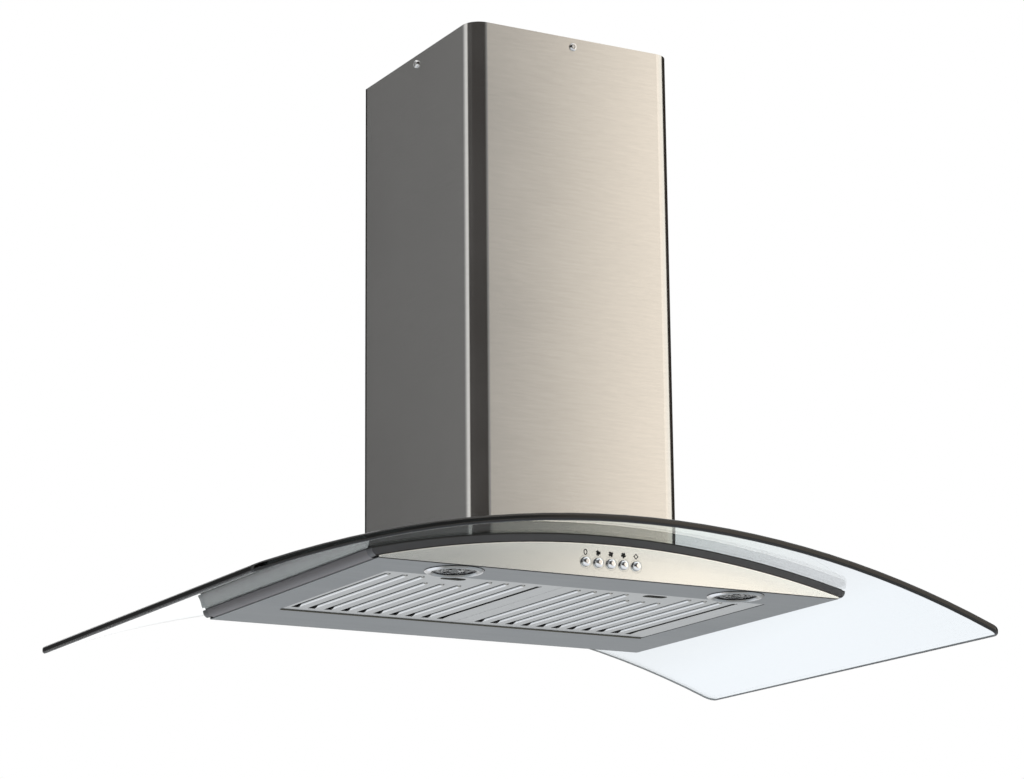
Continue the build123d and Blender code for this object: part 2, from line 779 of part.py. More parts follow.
with BuildPart() as flap_pin:
    with BuildSketch(room_plane(pin_half)):
        with Locations((0, flap_axis)):
            Circle(flap_pin_radius)
    extrude(amount=2 * pin_half)
save(flap_pin, "flap_pin")

for name, side, first in (("flap_left", -1, 0), ("flap_right", 1, 1)):
    own = knuckle_row[first::2]
    other = knuckle_row[1 - first::2]
    with BuildPart() as flap:
        with BuildSketch(Plane.XY.offset(flap_axis - flap_sheet / 2)):
            Circle(flap_radius)
            with Locations((-side * flap_radius, 0)):
                Rectangle(2 * (flap_radius + flap_split), 2 * duct_diameter, mode=Mode.SUBTRACT)
            with Locations(*[(0, y) for y in other]):
                knuckle_room = flap_knuckle + 2 * flap_knuckle_gap
                Rectangle(4 * flap_knuckle_radius, knuckle_room, mode=Mode.SUBTRACT)
        extrude(amount=flap_sheet)
        for y in own:
            with BuildSketch(room_plane(y + flap_knuckle / 2)):
                with Locations((0, flap_axis)):
                    Circle(flap_knuckle_radius)
            extrude(amount=flap_knuckle)
        with BuildSketch(room_plane(duct_diameter)):
            with Locations((0, flap_axis)):
                Circle(flap_pin_radius + running_gap)
        extrude(amount=2 * duct_diameter, mode=Mode.SUBTRACT)
    save(flap, name)

# ---------------------------------------------------------------- ceiling plate and posts

plate_x = chimney_width - 2 * (chimney_sheet + fit_gap)
plate_y = chimney_depth - 2 * (chimney_sheet + fit_gap)
post_outer = box_half + post_sheet
post_foot_middle = post_outer - post_foot / 2
screw_level = -chimney_screw_drop

with BuildPart() as ceiling_plate:
    with BuildSketch():
        Rectangle(plate_x, plate_y)
    extrude(amount=-ceiling_flange)
    front_corners = ceiling_plate.edges().filter_by(Axis.Z).group_by(Axis.Y)[0]
    fillet(front_corners, chimney_corner_radius - chimney_sheet)
    hollow_radius = chimney_corner_radius - chimney_sheet - ceiling_sheet
    with BuildSketch(Plane.XY.offset(-ceiling_sheet)):
        RectangleRounded(plate_x - 2 * ceiling_sheet, plate_y - 2 * ceiling_sheet, hollow_radius)
    extrude(amount=-ceiling_flange, mode=Mode.SUBTRACT)
    with BuildSketch():
        Circle(ceiling_duct_diameter / 2)
        with GridLocations(ceiling_hole_x, ceiling_hole_y, 2, 2):
            Circle(ceiling_hole_diameter / 2)
        with GridLocations(2 * post_foot_middle, 2 * post_foot_middle, 2, 2):
            Circle(post_bolt_radius)
    extrude(amount=-ceiling_sheet, mode=Mode.SUBTRACT)
    with BuildSketch(room_plane(plate_y)):
        with Locations((0, screw_level)):
            Circle(screw_shank_radius)
    extrude(amount=2 * plate_y, mode=Mode.SUBTRACT)
    with BuildSketch(Plane.YZ.offset(-plate_x)):
        with Locations((0, screw_level)):
            Circle(screw_shank_radius)
    extrude(amount=2 * plate_x, mode=Mode.SUBTRACT)
save(ceiling_plate, "ceiling_plate")

post_bottom = box_top - post_overlap
post_corners = (("front_left", -1, -1), ("front_right", 1, -1), ("rear_left", -1, 1), ("rear_right", 1, 1))
post_bolt_heights = [box_top - post_overlap / 2 + side * post_bolt_pitch / 2 for side in (-1, 1)]
post_leg_middle = post_outer - post_leg / 2

for corner, along, across in post_corners:
    with BuildPart() as post:
        with BuildSketch(Plane.XY.offset(post_bottom)):
            with Locations((along * post_leg_middle, across * post_leg_middle)):
                Rectangle(post_leg, post_leg)
            inner_place = post_leg_middle - post_sheet
            with Locations((along * inner_place, across * inner_place)):
                Rectangle(post_leg, post_leg, mode=Mode.SUBTRACT)
        extrude(amount=-ceiling_sheet - post_bottom)
        with BuildSketch(Plane.XY.offset(-ceiling_sheet - post_sheet)):
            with Locations((along * post_foot_middle, across * post_foot_middle)):
                Rectangle(post_foot, post_foot)
                Circle(post_bolt_radius, mode=Mode.SUBTRACT)
        extrude(amount=post_sheet)
        with BuildSketch(Plane.YZ.offset(along * post_outer)):
            with Locations(*[(across * post_leg_middle, z) for z in post_bolt_heights]):
                Circle(post_bolt_radius)
        extrude(amount=-along * post_sheet, mode=Mode.SUBTRACT)
    save(post, f"support_post_{corner}")

foot_bolt_seat = -ceiling_sheet - post_sheet

with BuildPart() as post_bolts:
    with BuildSketch(Plane.XY.offset(foot_bolt_seat)):
        with GridLocations(2 * post_foot_middle, 2 * post_foot_middle, 2, 2):
            RegularPolygon(post_bolt_head_radius, 6)
    extrude(amount=-post_bolt_head)
    with BuildSketch(Plane.XY.offset(foot_bolt_seat)):
        with GridLocations(2 * post_foot_middle, 2 * post_foot_middle, 2, 2):
            Circle(post_bolt_radius)
    extrude(amount=-foot_bolt_seat - sliding_gap)
    for along in (-1, 1):
        post_bolt_places = [(y, z) for y in (-post_leg_middle, post_leg_middle) for z in post_bolt_heights]
        with BuildSketch(Plane.YZ.offset(along * post_outer)):
            with Locations(*post_bolt_places):
                RegularPolygon(post_bolt_head_radius, 6)
        extrude(amount=along * post_bolt_head)
        with BuildSketch(Plane.YZ.offset(along * post_outer)):
            with Locations(*post_bolt_places):
                Circle(post_bolt_radius)
        extrude(amount=-along * post_sheet)
save(post_bolts, "post_bolts")

# ---------------------------------------------------------------- chimney covers

cover_x = chimney_width / 2
cover_y = chimney_depth / 2
cover_inner_x = cover_x - chimney_sheet
cover_inner_y = cover_y - chimney_sheet
front_cover_rear = cover_inner_y - fit_gap

with BuildPart() as chimney_front_cover:
    with BuildSketch():
        with Locations((0, (front_cover_rear - cover_y) / 2)):
            Rectangle(chimney_width, front_cover_rear + cover_y)
    extrude(amount=arch_axis)
    fillet(chimney_front_cover.edges().filter_by(Axis.Z).group_by(Axis.Y)[0], chimney_corner_radius)
    with BuildSketch():
        with Locations((0, (front_cover_rear - cover_inner_y) / 2 + chimney_sheet)):
            inner_depth = front_cover_rear + cover_inner_y + 2 * chimney_sheet
            RectangleRounded(2 * cover_inner_x, inner_depth, chimney_corner_radius - chimney_sheet)
        with Locations((0, front_cover_rear)):
            Rectangle(2 * cover_inner_x, cover_lap + chimney_corner_radius)
    extrude(amount=arch_axis, mode=Mode.SUBTRACT)
    with BuildSketch(upright_plane(chimney_depth)):
        Circle(radius_cover_low)
    extrude(amount=2 * chimney_depth, mode=Mode.SUBTRACT)
    with BuildSketch(room_plane(0)):
        with Locations((0, screw_level)):
            Circle(screw_shank_radius)
    extrude(amount=chimney_depth, mode=Mode.SUBTRACT)
    with BuildSketch(Plane.YZ.offset(-chimney_width)):
        with Locations((0, screw_level)):
            Circle(screw_shank_radius)
    extrude(amount=2 * chimney_width, mode=Mode.SUBTRACT)
save(chimney_front_cover, "chimney_front_cover")

lap_half = cover_inner_x - fit_gap / 2

with BuildPart() as chimney_rear_cover:
    with BuildSketch():
        with Locations((0, cover_y - chimney_sheet / 2)):
            Rectangle(chimney_width, chimney_sheet)
        for side in (-1, 1):
            with Locations((side * (lap_half - chimney_sheet / 2), cover_inner_y - cover_lap / 2)):
                Rectangle(chimney_sheet, cover_lap)
    extrude(amount=arch_axis)
    with BuildSketch(upright_plane(chimney_depth)):
        Circle(radius_cover_low)
    extrude(amount=2 * chimney_depth, mode=Mode.SUBTRACT)
    with BuildSketch():
        Rectangle(plate_x + sliding_gap, plate_y + sliding_gap)
    extrude(amount=-ceiling_flange - fit_gap, mode=Mode.SUBTRACT)
    with BuildSketch(room_plane(chimney_depth)):
        with Locations((0, screw_level)):
            Circle(screw_shank_radius)
    extrude(amount=chimney_depth, mode=Mode.SUBTRACT)
save(chimney_rear_cover, "chimney_rear_cover")

screw_faces = [
    Plane(origin=(0, -cover_y, screw_level), z_dir=(0, -1, 0)),
    Plane(origin=(0, cover_y, screw_level), z_dir=(0, 1, 0)),
    Plane(origin=(-cover_x, 0, screw_level), z_dir=(-1, 0, 0)),
    Plane(origin=(cover_x, 0, screw_level), z_dir=(1, 0, 0)),
]

with BuildPart() as chimney_screws:
    for face in screw_faces:
        with BuildSketch(face):
            Circle(screw_head_radius)
        extrude(amount=screw_head_height)
        by_height = chimney_screws.edges().sort_by(lambda edge: (edge.center() - face.origin).dot(face.z_dir))
        fillet(by_height[-1], screw_head_dome)
        with BuildSketch(face):
            Circle(screw_shank_radius)
        extrude(amount=-screw_length)
        with BuildSketch(face.offset(screw_head_height)):
            Rectangle(screw_cross_length, screw_cross_width)
            Rectangle(screw_cross_width, screw_cross_length)
        extrude(amount=-screw_cross_depth, mode=Mode.SUBTRACT)
save(chimney_screws, "chimney_screws")

# ---------------------------------------------------------------- switch block and push buttons

button_level = underside + button_rise
switch_front = body_front + button_back + button_travel + switch_clearance
switch_rear = switch_front + switch_depth
stem_start = body_front + button_back
stem_end = stem_start + stem_length

with BuildPart() as switch_block:
    with BuildSketch(room_plane(switch_rear)):
        with Locations((button_row_x, button_level)):
            Rectangle(switch_width, switch_height)
    extrude(amount=switch_depth)
    with BuildSketch(room_plane(switch_rear)):
        ear_place = switch_width / 2 + switch_ear / 2
        with Locations((button_row_x - ear_place, button_level), (button_row_x + ear_place, button_level)):
            Rectangle(switch_ear, switch_height)
    extrude(amount=switch_rear - panel_front_back)
    with BuildSketch(room_plane(switch_rear - body_sheet)):
        with Locations(*[(x, button_level) for x in button_row]):
            Circle(stem_radius + sliding_gap)
    extrude(amount=switch_depth, mode=Mode.SUBTRACT)
save(switch_block, "switch_block")

button_names = ("button_off", "button_low", "button_medium", "button_high", "button_light")

for name, x in zip(button_names, button_row):
    with BuildPart() as button:
        with BuildSketch(room_plane(body_front + button_back)):
            with Locations((x, button_level)):
                Circle(button_radius)
        extrude(amount=button_back + button_proud)
        fillet(button.edges().group_by(Axis.Y)[0], button_dome)
        with BuildSketch(room_plane(stem_end)):
            with Locations((x, button_level)):
                Circle(stem_radius)
        extrude(amount=stem_length)
    save(button, name)

# ---------------------------------------------------------------- lamps

lens_radius = bezel_inner_radius + lens_seat
can_radius = lamp_hole_radius - fit_gap
sleeve_radius = can_radius - lamp_can_wall

for side_name, (x, y) in zip(("left", "right"), lamp_places):
    with BuildPart() as lamp_bezel:
        with BuildSketch(Plane(origin=(x, y, underside), x_dir=(1, 0, 0), z_dir=(0, -1, 0))):
            with BuildLine():
                Line((bezel_inner_radius, 0), (bezel_radius, 0))
                bezel_crown = (bezel_inner_radius + bezel_radius) / 2
                ThreePointArc((bezel_radius, 0), (bezel_crown, -bezel_proud), (bezel_inner_radius, 0))
            make_face()
        revolve(axis=Axis((x, y, underside), (0, 0, 1)))
        with BuildSketch(Plane.XY.offset(underside)):
            with Locations((x, y)):
                Circle(sleeve_radius - sliding_gap)
                Circle(lens_radius + sliding_gap, mode=Mode.SUBTRACT)
        extrude(amount=lamp_sleeve)
    save(lamp_bezel, f"lamp_bezel_{side_name}")

    with BuildPart() as lamp_lens:
        with BuildSketch(Plane.XY.offset(underside)):
            with Locations((x, y)):
                Circle(lens_radius)
        extrude(amount=lens_thickness)
    save(lamp_lens, f"lamp_lens_{side_name}")

    with BuildPart() as lamp_housing:
        with BuildSketch(Plane.XY.offset(underside)):
            with Locations((x, y)):
                Circle(can_radius)
        extrude(amount=lamp_can_top - underside)
        with BuildSketch(Plane.XY.offset(underside)):
            with Locations((x, y)):
                Circle(sleeve_radius)
        extrude(amount=lamp_can_top - lamp_can_wall - underside, mode=Mode.SUBTRACT)
        with BuildSketch(Plane.XY.offset(underside + body_sheet)):
            with Locations((x, y)):
                Circle(lamp_hole_radius + lamp_can_flange)
                Circle(sleeve_radius, mode=Mode.SUBTRACT)
        extrude(amount=body_sheet)
    save(lamp_housing, f"lamp_housing_{side_name}")

    bulb_top = lamp_can_top - lamp_can_wall
    with BuildPart() as lamp_bulb:
        with BuildSketch(Plane.XY.offset(bulb_top - bulb_height)):
            with Locations((x, y)):
                Circle(bulb_radius)
        with BuildSketch(Plane.XY.offset(bulb_top)):
            with Locations((x, y)):
                Circle(bulb_radius / 2)
        loft()
    save(lamp_bulb, f"lamp_bulb_{side_name}")

# ---------------------------------------------------------------- filters, baffles and latches

filter_front = opening_front + filter_front_gap
filter_rear = opening_rear - filter_rear_gap
plate_top = filter_face + filter_sheet
slot_start = filter_front + slot_front_border
slot_stop = filter_rear - slot_rear_border
filter_middle_y = (filter_front + filter_rear) / 2
pocket_y = filter_front + latch_inset
filter_sides = (
    ("left", opening_left + filter_side_gap, filter_split_x - filter_split_gap / 2,
     slot_edge_left, slot_spare_left, latch_left_x),
    ("right", filter_split_x + filter_split_gap / 2, opening_right - filter_side_gap,
     slot_edge_right, slot_spare_right, latch_right_x),
)

for side_name, low_x, high_x, slot_edge, slot_spare, latch_x in filter_sides:
    filter_width = high_x - low_x
    filter_middle = ((low_x + high_x) / 2, filter_middle_y)
    slot_count = int((filter_width - slot_edge - slot_spare) / slot_pitch) + 1
    slots = [high_x - slot_edge - slot_pitch * i for i in range(slot_count)]
    starts = [filter_front + latch_clear if abs(x - latch_x) < latch_near else slot_start for x in slots]

    with BuildPart() as filter_frame:
        with BuildSketch(Plane.XY.offset(filter_face)):
            with Locations(filter_middle):
                Rectangle(filter_width, filter_rear - filter_front)
        extrude(amount=filter_height)
        with BuildSketch(Plane.XY.offset(plate_top)):
            with Locations(filter_middle):
                inside = 2 * filter_sheet
                Rectangle(filter_width - inside, filter_rear - filter_front - inside)
        extrude(amount=filter_height, mode=Mode.SUBTRACT)
        for x, start in zip(slots[1:], starts[1:]):
            left, middle, right = (x + slot_width / 2 + part * slot_lip for part in (0, 0.5, 1))
            with BuildSketch(room_plane(slot_stop)):
                with BuildLine():
                    Line((left, plate_top), (left, filter_face))
                    ThreePointArc((left, filter_face), (middle, filter_face - slot_lip_sag), (right, filter_face))
                    Line((right, filter_face), (right, plate_top))
                    Line((right, plate_top), (left, plate_top))
                make_face()
            extrude(amount=slot_stop - start - slot_lip_end)
        with BuildSketch(Plane.XY.offset(filter_face - slot_lip_sag)):
            for x, start in zip(slots, starts):
                left = x - slot_width / 2
                right = left + (open_slot_width if x == slots[0] else slot_width)
                with BuildLine():
                    Polyline((left, start), (right, start), (right, slot_stop - notch_length),
                             (x + notch_width, slot_stop), (left, slot_stop), close=True)
                make_face()
            with Locations((latch_x, pocket_y)):
                SlotOverall(pocket_width, pocket_depth)
        extrude(amount=filter_sheet + slot_lip_sag, mode=Mode.SUBTRACT)
        tongue_low = plate_top + latch_gap
        with BuildSketch(Plane.XY.offset(tongue_low - latch_gap)):
            with Locations((latch_x, filter_front + filter_sheet / 2)):
                Rectangle(latch_tongue + 2 * sliding_gap, 2 * filter_sheet)
        extrude(amount=latch_sheet + 2 * latch_gap, mode=Mode.SUBTRACT)
        hook_places = [(x, filter_rear - filter_sheet) for x in (low_x + hook_inset, high_x - hook_inset)]
        with BuildSketch(Plane.XY.offset(lip_top + hook_gap)):
            with Locations(*hook_places):
                hook_length = filter_rear_gap + hook_reach + filter_sheet
                Rectangle(hook_width, hook_length, align=(Align.CENTER, Align.MIN))
        extrude(amount=hook_sheet)
    save(filter_frame, f"filter_frame_{side_name}")

    rail_span = filter_width - 2 * filter_sheet
    rail_front = filter_front + filter_sheet + rail_width / 2
    rail_rear = filter_rear - filter_sheet - rail_width / 2
    rail_middle = filter_front + latch_clear + rail_width
    baffle_low = filter_face + baffle_rise
    baffle_top = baffle_low + baffle_depth
    baffle_sides = [(max(x - baffle_width / 2, low_x + filter_sheet), x + baffle_width / 2) for x in slots]
    with BuildPart() as filter_baffles:
        with BuildSketch(Plane.XY.offset(baffle_top - baffle_sheet)):
            for y in (rail_front, rail_middle, rail_rear):
                with Locations((filter_middle[0], y)):
                    Rectangle(rail_span, rail_width)
        extrude(amount=baffle_sheet)
        for (left, right), start in zip(baffle_sides, starts):
            begin = rail_middle if start > slot_start else rail_front
            with BuildSketch(Plane.XY.offset(baffle_low)):
                with Locations(((left + right) / 2, (begin + rail_rear) / 2)):
                    Rectangle(right - left, rail_rear - begin)
            extrude(amount=baffle_depth)
        with BuildSketch(room_plane(rail_rear + rail_width)):
            for left, right in baffle_sides:
                with Locations(((left + right) / 2, baffle_low)):
                    Rectangle(right - left - 2 * baffle_sheet, 2 * (baffle_depth - baffle_sheet))
        extrude(amount=filter_rear - filter_front + 2 * rail_width, mode=Mode.SUBTRACT)
    save(filter_baffles, f"filter_baffles_{side_name}")

    with BuildPart() as filter_latch:
        with BuildSketch(Plane.XY.offset(tongue_low)):
            tongue_tip = opening_front - latch_reach
            with Locations((latch_x, tongue_tip)):
                Rectangle(latch_tongue, pocket_y - tongue_tip, align=(Align.CENTER, Align.MIN))
            with Locations((latch_x, pocket_y)):
                SlotOverall(pocket_width + 2 * pocket_ledge, pocket_depth + 2 * pocket_ledge)
        extrude(amount=latch_sheet)
        with BuildSketch(Plane.XY.offset(tongue_low)):
            with Locations((latch_x, pocket_y)):
                SlotOverall(pocket_width - pocket_wall, pocket_depth - pocket_wall)
        extrude(amount=pocket_height)
        with BuildSketch(Plane.XY.offset(tongue_low)):
            with Locations((latch_x, pocket_y)):
                SlotOverall(pocket_width - 3 * pocket_wall, pocket_depth - 3 * pocket_wall)
        extrude(amount=pocket_height - pocket_wall, mode=Mode.SUBTRACT)
    save(filter_latch, f"filter_latch_{side_name}")

# ---------------------------------------------------------------- terminal box and capacitor

terminal_level = box_top - box_height / 2

with BuildPart() as terminal_box:
    with BuildSketch(Plane.YZ.offset(-box_half)):
        with Locations((0, terminal_level)):
            Rectangle(terminal_width, terminal_height)
    extrude(amount=-terminal_depth + terminal_lid)
    with BuildSketch(Plane.YZ.offset(-box_half - terminal_wall)):
        with Locations((0, terminal_level)):
            Rectangle(terminal_width - 2 * terminal_wall, terminal_height - 2 * terminal_wall)
    extrude(amount=-terminal_depth, mode=Mode.SUBTRACT)
    with BuildSketch(Plane.XY.offset(terminal_level)):
        with Locations((-box_half - terminal_depth / 2, 0)):
            Circle(cable_hole_radius)
    extrude(amount=terminal_height, mode=Mode.SUBTRACT)
save(terminal_box, "terminal_box")

with BuildPart() as terminal_box_lid:
    with BuildSketch(Plane.YZ.offset(-box_half - terminal_depth + terminal_lid)):
        with Locations((0, terminal_level)):
            Rectangle(terminal_width, terminal_height)
    extrude(amount=-terminal_lid)
save(terminal_box_lid, "terminal_box_lid")

with BuildPart() as capacitor:
    capacitor_x = box_half + capacitor_stud + capacitor_radius
    with BuildSketch(Plane.XY.offset(terminal_level)):
        with Locations((capacitor_x, 0)):
            Circle(capacitor_radius)
    extrude(amount=capacitor_length / 2, both=True)
    with BuildSketch(Plane.YZ.offset(box_half)):
        with Locations((0, terminal_level)):
            Rectangle(capacitor_radius, capacitor_length / 2)
    extrude(amount=capacitor_stud + capacitor_radius / 2)
save(capacitor, "capacitor")
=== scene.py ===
"""Curved glass range hood: finishes, small parts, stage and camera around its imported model."""

import math

import bmesh
import bpy
from mathutils import Matrix, Vector


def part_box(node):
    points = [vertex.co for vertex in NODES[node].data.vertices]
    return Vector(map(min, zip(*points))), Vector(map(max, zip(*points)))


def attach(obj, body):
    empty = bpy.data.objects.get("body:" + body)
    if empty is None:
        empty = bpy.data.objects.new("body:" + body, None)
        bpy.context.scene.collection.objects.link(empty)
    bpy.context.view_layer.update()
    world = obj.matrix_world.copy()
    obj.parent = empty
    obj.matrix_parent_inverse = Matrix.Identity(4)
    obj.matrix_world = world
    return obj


bl_info = {
    "name": "Curved Glass Range Hood",
    "version": (1, 0, 0),
    "blender": (4, 5, 0),
    "location": "View3D > Sidebar > Hood",
    "description": "Finishes and small parts of a curved glass range hood on its CAD frame",
    "category": "Object",
}

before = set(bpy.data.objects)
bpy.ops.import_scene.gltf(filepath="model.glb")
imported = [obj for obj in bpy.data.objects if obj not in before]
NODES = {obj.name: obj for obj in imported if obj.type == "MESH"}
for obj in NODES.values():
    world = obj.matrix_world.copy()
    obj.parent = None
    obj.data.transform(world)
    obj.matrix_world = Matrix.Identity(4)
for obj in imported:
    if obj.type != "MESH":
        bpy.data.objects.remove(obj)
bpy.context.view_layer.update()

SHADER = "Principled BSDF"
MM = 0.001

# Radii of the arch that the glass, trims and panels follow
GLASS_TOP_RADIUS = 1230.0 * MM
TRIM_TOP_RADIUS = 1220.5 * MM
TRIM_LOW_RADIUS = 1211.7 * MM

# Places on the underside, which the small pieces there follow
OPENING_REAR = 117.3 * MM
SLOT_PITCH = 20.1 * MM
SLOT_START = -129.4 * MM
SLOT_START_BY_LATCH = -97.5 * MM
SLOT_LIP_MIDDLE = 3.9 * MM
LATCH_NEAR = 28.0 * MM
DIMPLE_FACE = 1.3 * MM

# Each filter's side, the X of its last slot, its number of slots and the X of its latch
FILTER_SLOTS = (
    ("left", -53.3 * MM, 10, -156.0 * MM),
    ("right", 196.1 * MM, 11, 93.0 * MM),
)

BUTTONS = ("button_off", "button_low", "button_medium", "button_high", "button_light")

# Depths from an edge or a face where a material's painted shade or painted highlight starts
SEAM_WIDTH = 0.8 * MM
SEAM_DEPTH = 2.4 * MM
PANEL_RIM = 0.9 * MM
TRIM_TOP_LINE = 0.7 * MM
TRIM_LOW_LINE = 1.1 * MM
GLASS_SIDE_EDGE = 0.8 * MM
LIP_FACE = 0.55 * MM
FILTER_INSIDE = 2.25 * MM
BEZEL_EDGE = 0.75 * MM

# Parts of a unit normal: down at a panel's bend, up at a filter's back, level at the glass's edge
BEND_NORMAL = -0.3
BACK_NORMAL = 0.3
EDGE_NORMAL = 0.08

# Where the glass's depth tint starts and is full, from 0 for square on to 1 for along the sheet
DEPTH_TINT_SPAN = (0.73, 0.79)

# Where a bezel's shade ends and is full, in shares of its radius sideways from its middle
BEZEL_SHADE_SPAN = (0.88, 0.7)

# Colours of the painted highlight and painted shade lines, and of the lamps' lenses: their dark tint and
# painted glints
PAINTED_RIM_HIGHLIGHT = (1.0, 1.0, 0.97)
PAINTED_GAP_SHADE = (0.004, 0.004, 0.004)
LENS_DARK = (0.16, 0.165, 0.15)
LENS_PAINTED_GLINT = (0.9, 0.92, 0.92)

# Brushing lines per metre along X, Y and Z
CHIMNEY_GRAIN = (140.0, 140.0, 1600.0)
PANEL_GRAIN = (30.0, 30.0, 1500.0)
TRAY_GRAIN = (10.0, 700.0, 700.0)
FILTER_GRAIN = (1200.0, 25.0, 1200.0)
CAN_GRAIN = (300.0, 300.0, 1500.0)

# The share of coarse lines in brushing, and the parts of a noise's range that masks spread over
COARSE_SHARE = 0.4
LINES_SPAN = (0.3, 0.7)
NOISE_SPAN = (0.25, 0.75)

# How far roughness varies, as shares of its plain value
BRUSHED_SPREAD = (0.9, 1.12)
SPECKLED_SPREAD = (0.85, 1.15)
SPANGLED_SPREAD = (0.8, 1.3)

# Depths of bumps
BRUSHED_DEPTH = 0.1 * MM
GRAIN_DEPTH = 0.2 * MM
RIPPLE_DEPTH = 1.2 * MM

# A lens's pressed pattern: the noise that swirls its rings, and the level above which a painted glint shows
SWIRLS_PER_METRE = 55.0
SWIRL_TURN = 14.0
RIPPLE_SHINE = 0.45

# A lamp's reflector bowl: its gap over the lens, margin round it, sheet, rings and narrowing
BOWL_GAP = 0.4 * MM
BOWL_MARGIN = 1.2 * MM
BOWL_SHEET = 0.4 * MM
BOWL_STEPS = 6
BOWL_NARROWING = 0.72

# Sides of round pieces and signs, and the angle in degrees above which an edge is sharp
SHARP_ANGLE = 35.0
PEG_SIDES = 12
RING_SIDES = 48
OVAL_SIDES = 24
HUB_SIDES = 16
DIAMOND_SIDES = 4
FLOOR_SIDES = 96

# The off sign's width to its height, the diamond's line to the others', and the fans' hub and its
# hole to their radius
OVAL_WIDTH = 0.72
DIAMOND_LINE = 1.3
HUB_RADIUS = 0.27
HUB_HOLE = 0.05

# The fans' blades: their points, root in hub radii, sweep in radians, and how their width swells
FEWEST_BLADES = 3
BLADE_STEPS = 7
BLADE_ROOT = 0.8
BLADE_SWEEP = 0.75
BLADE_LEAST = 0.12
BLADE_SWELL = 0.38
BLADE_PHASE = 0.12
BLADE_REACH = 0.62
BLADE_WIDTH = 1.9
BLADES_AT_FULL_WIDTH = 7.0


# Sizes and colours that a user would change


def colour_of(name, description, default):
    """A colour property in linear light."""
    return bpy.props.FloatVectorProperty(
        name=name, description=description, default=default, subtype="COLOR", min=0.0, max=1.0
    )


def length_of(name, description, default):
    """A length property in metres."""
    return bpy.props.FloatProperty(
        name=name, description=description, default=default, unit="LENGTH", min=0.0, precision=5
    )


def share_of(name, description, default, top=1.0):
    """A plain number from 0 to top."""
    return bpy.props.FloatProperty(
        name=name, description=description, default=default, min=0.0, max=top
    )


class HoodFinishSettings(bpy.types.PropertyGroup):
    """Colours of the metal, glass and plastic, and of painted highlights and shade."""

    chimney_steel: colour_of("Chimney steel", "Brushed steel of the chimney", (0.68, 0.67, 0.65))
    body_steel: colour_of("Body steel", "Brushed steel of the front and rear panels", (0.80, 0.825, 0.815))
    tray_steel: colour_of("Tray steel", "Brushed steel of the underside", (0.275, 0.288, 0.294))
    filter_metal: colour_of("Filter metal", "Aluminium of the grease filters", (0.56, 0.57, 0.565))
    # painted highlight on the rolled lips beside the slots
    lip_highlight: colour_of("Lip metal", "Rolled lips beside the filters' slots", (0.95, 0.955, 0.96))
    filter_inside: colour_of("Filter inside", "Shaded metal inside the grease filters", (0.03, 0.03, 0.028))
    glass_tint: colour_of("Glass tint", "Tint of the bent glass", (0.93, 0.97, 1.0))
    glass_depth_tint: colour_of(
        "Glass depth tint", "Tint of the glass seen along its sheet", (0.85, 0.97, 0.93)
    )
    # painted shade of the glass's rounded edges
    glass_edge_shade: colour_of("Glass edge", "Dark rounded edge of the glass", (0.004, 0.006, 0.006))
    trim_paint: colour_of("Trim paint", "Satin paint of the front and rear trims", (0.045, 0.047, 0.053))
    side_paint: colour_of("Side trim paint", "Satin paint of the side trims", (0.105, 0.098, 0.104))
    chrome: colour_of("Chrome", "Polished chrome of the buttons and lamp bezels", (0.9, 0.9, 0.91))
    bezel_shade: colour_of("Bezel shade", "Shaded front and rear of the lamp bezels", (0.30, 0.31, 0.31))
    shade: colour_of("Shade", "Shaded seams and bends of the steel", (0.05, 0.045, 0.04))
    # also used for the painted shadow where the lamps' lenses sit
    ink_and_bezel_shadow: colour_of("Ink", "Printed signs above the buttons", (0.012, 0.012, 0.012))
    steel_roughness: share_of("Steel roughness", "Roughness of the brushed steel", 0.19)
    steel_anisotropy: share_of("Steel anisotropy", "How far the brushing stretches a highlight", 0.94)


class HoodDetailSettings(bpy.types.PropertyGroup):
    """Sizes of the small parts."""

    sign_radius: length_of("Sign radius", "Half the height of the signs above the buttons", 3.2 * MM)
    sign_gap: length_of("Sign gap", "Height of the signs' middle above the buttons' axes", 10.4 * MM)
    sign_line: length_of("Sign line", "Width of the signs' lines", 1.05 * MM)
    print_thickness: length_of("Print thickness", "Thickness of the printed signs", 0.1 * MM)
    ring_radius: length_of("Ring radius", "Radius of the line round each button", 7.2 * MM)
    ring_line: length_of("Ring line", "Width of the line round each button", 0.3 * MM)
    dimple_radius: length_of("Dimple radius", "Radius of the dimple at a slot's front end", 0.9 * MM)
    hem_radius: length_of("Hem radius", "Radius of the rolled hem behind the filters", 0.9 * MM)
    lens_ripple: length_of("Lens ripple", "Spacing of the rings pressed in a lamp's lens", 9.0 * MM)
    bowl_depth: length_of("Bowl depth", "Depth of a lamp's reflector bowl", 11.0 * MM)
    bowl_facets: bpy.props.IntProperty(
        name="Bowl facets", description="Facets round a lamp's reflector bowl", default=28, min=8, max=64
    )


class HoodStageSettings(bpy.types.PropertyGroup):
    """Camera, floor and light."""

    lens: bpy.props.FloatProperty(
        name="Lens", description="Focal length in millimetres", default=105.67, min=1.0
    )
    floor_drop: length_of("Floor drop", "Depth of the floor below the chimney's top", 5.0)
    floor_radius: length_of("Floor radius", "Radius of the floor", 2.4)
    floor_colour: colour_of("Floor colour", "Plain pale floor", (0.92, 0.92, 0.92))
    light_strength: share_of("Light strength", "Strength of the studio light", 1.0, 10.0)


# Shader helpers


def add_node(tree, kind, place, **values):
    """A shader node at a place in its tree, with its settings."""
    node = tree.nodes.new(kind)
    node.location = place
    for name, value in values.items():
        setattr(node, name, value)
    return node


def put(node, **values):
    """Plain values on a node's inputs, by name with underscores for spaces."""
    for name, value in values.items():
        node.inputs[name.replace("_", " ")].default_value = value
    return node


def feed(tree, target, value):
    """Gives a socket a plain value, or links it to another socket."""
    if isinstance(value, bpy.types.NodeSocket):
        tree.links.new(value, target)
    else:
        target.default_value = value


def maths(tree, place, operation, *values):
    """A maths node of values that are each a number or a socket."""
    node = add_node(tree, "ShaderNodeMath", place, operation=operation)
    for target, value in zip(node.inputs, values):
        feed(tree, target, value)
    return node.outputs[0]


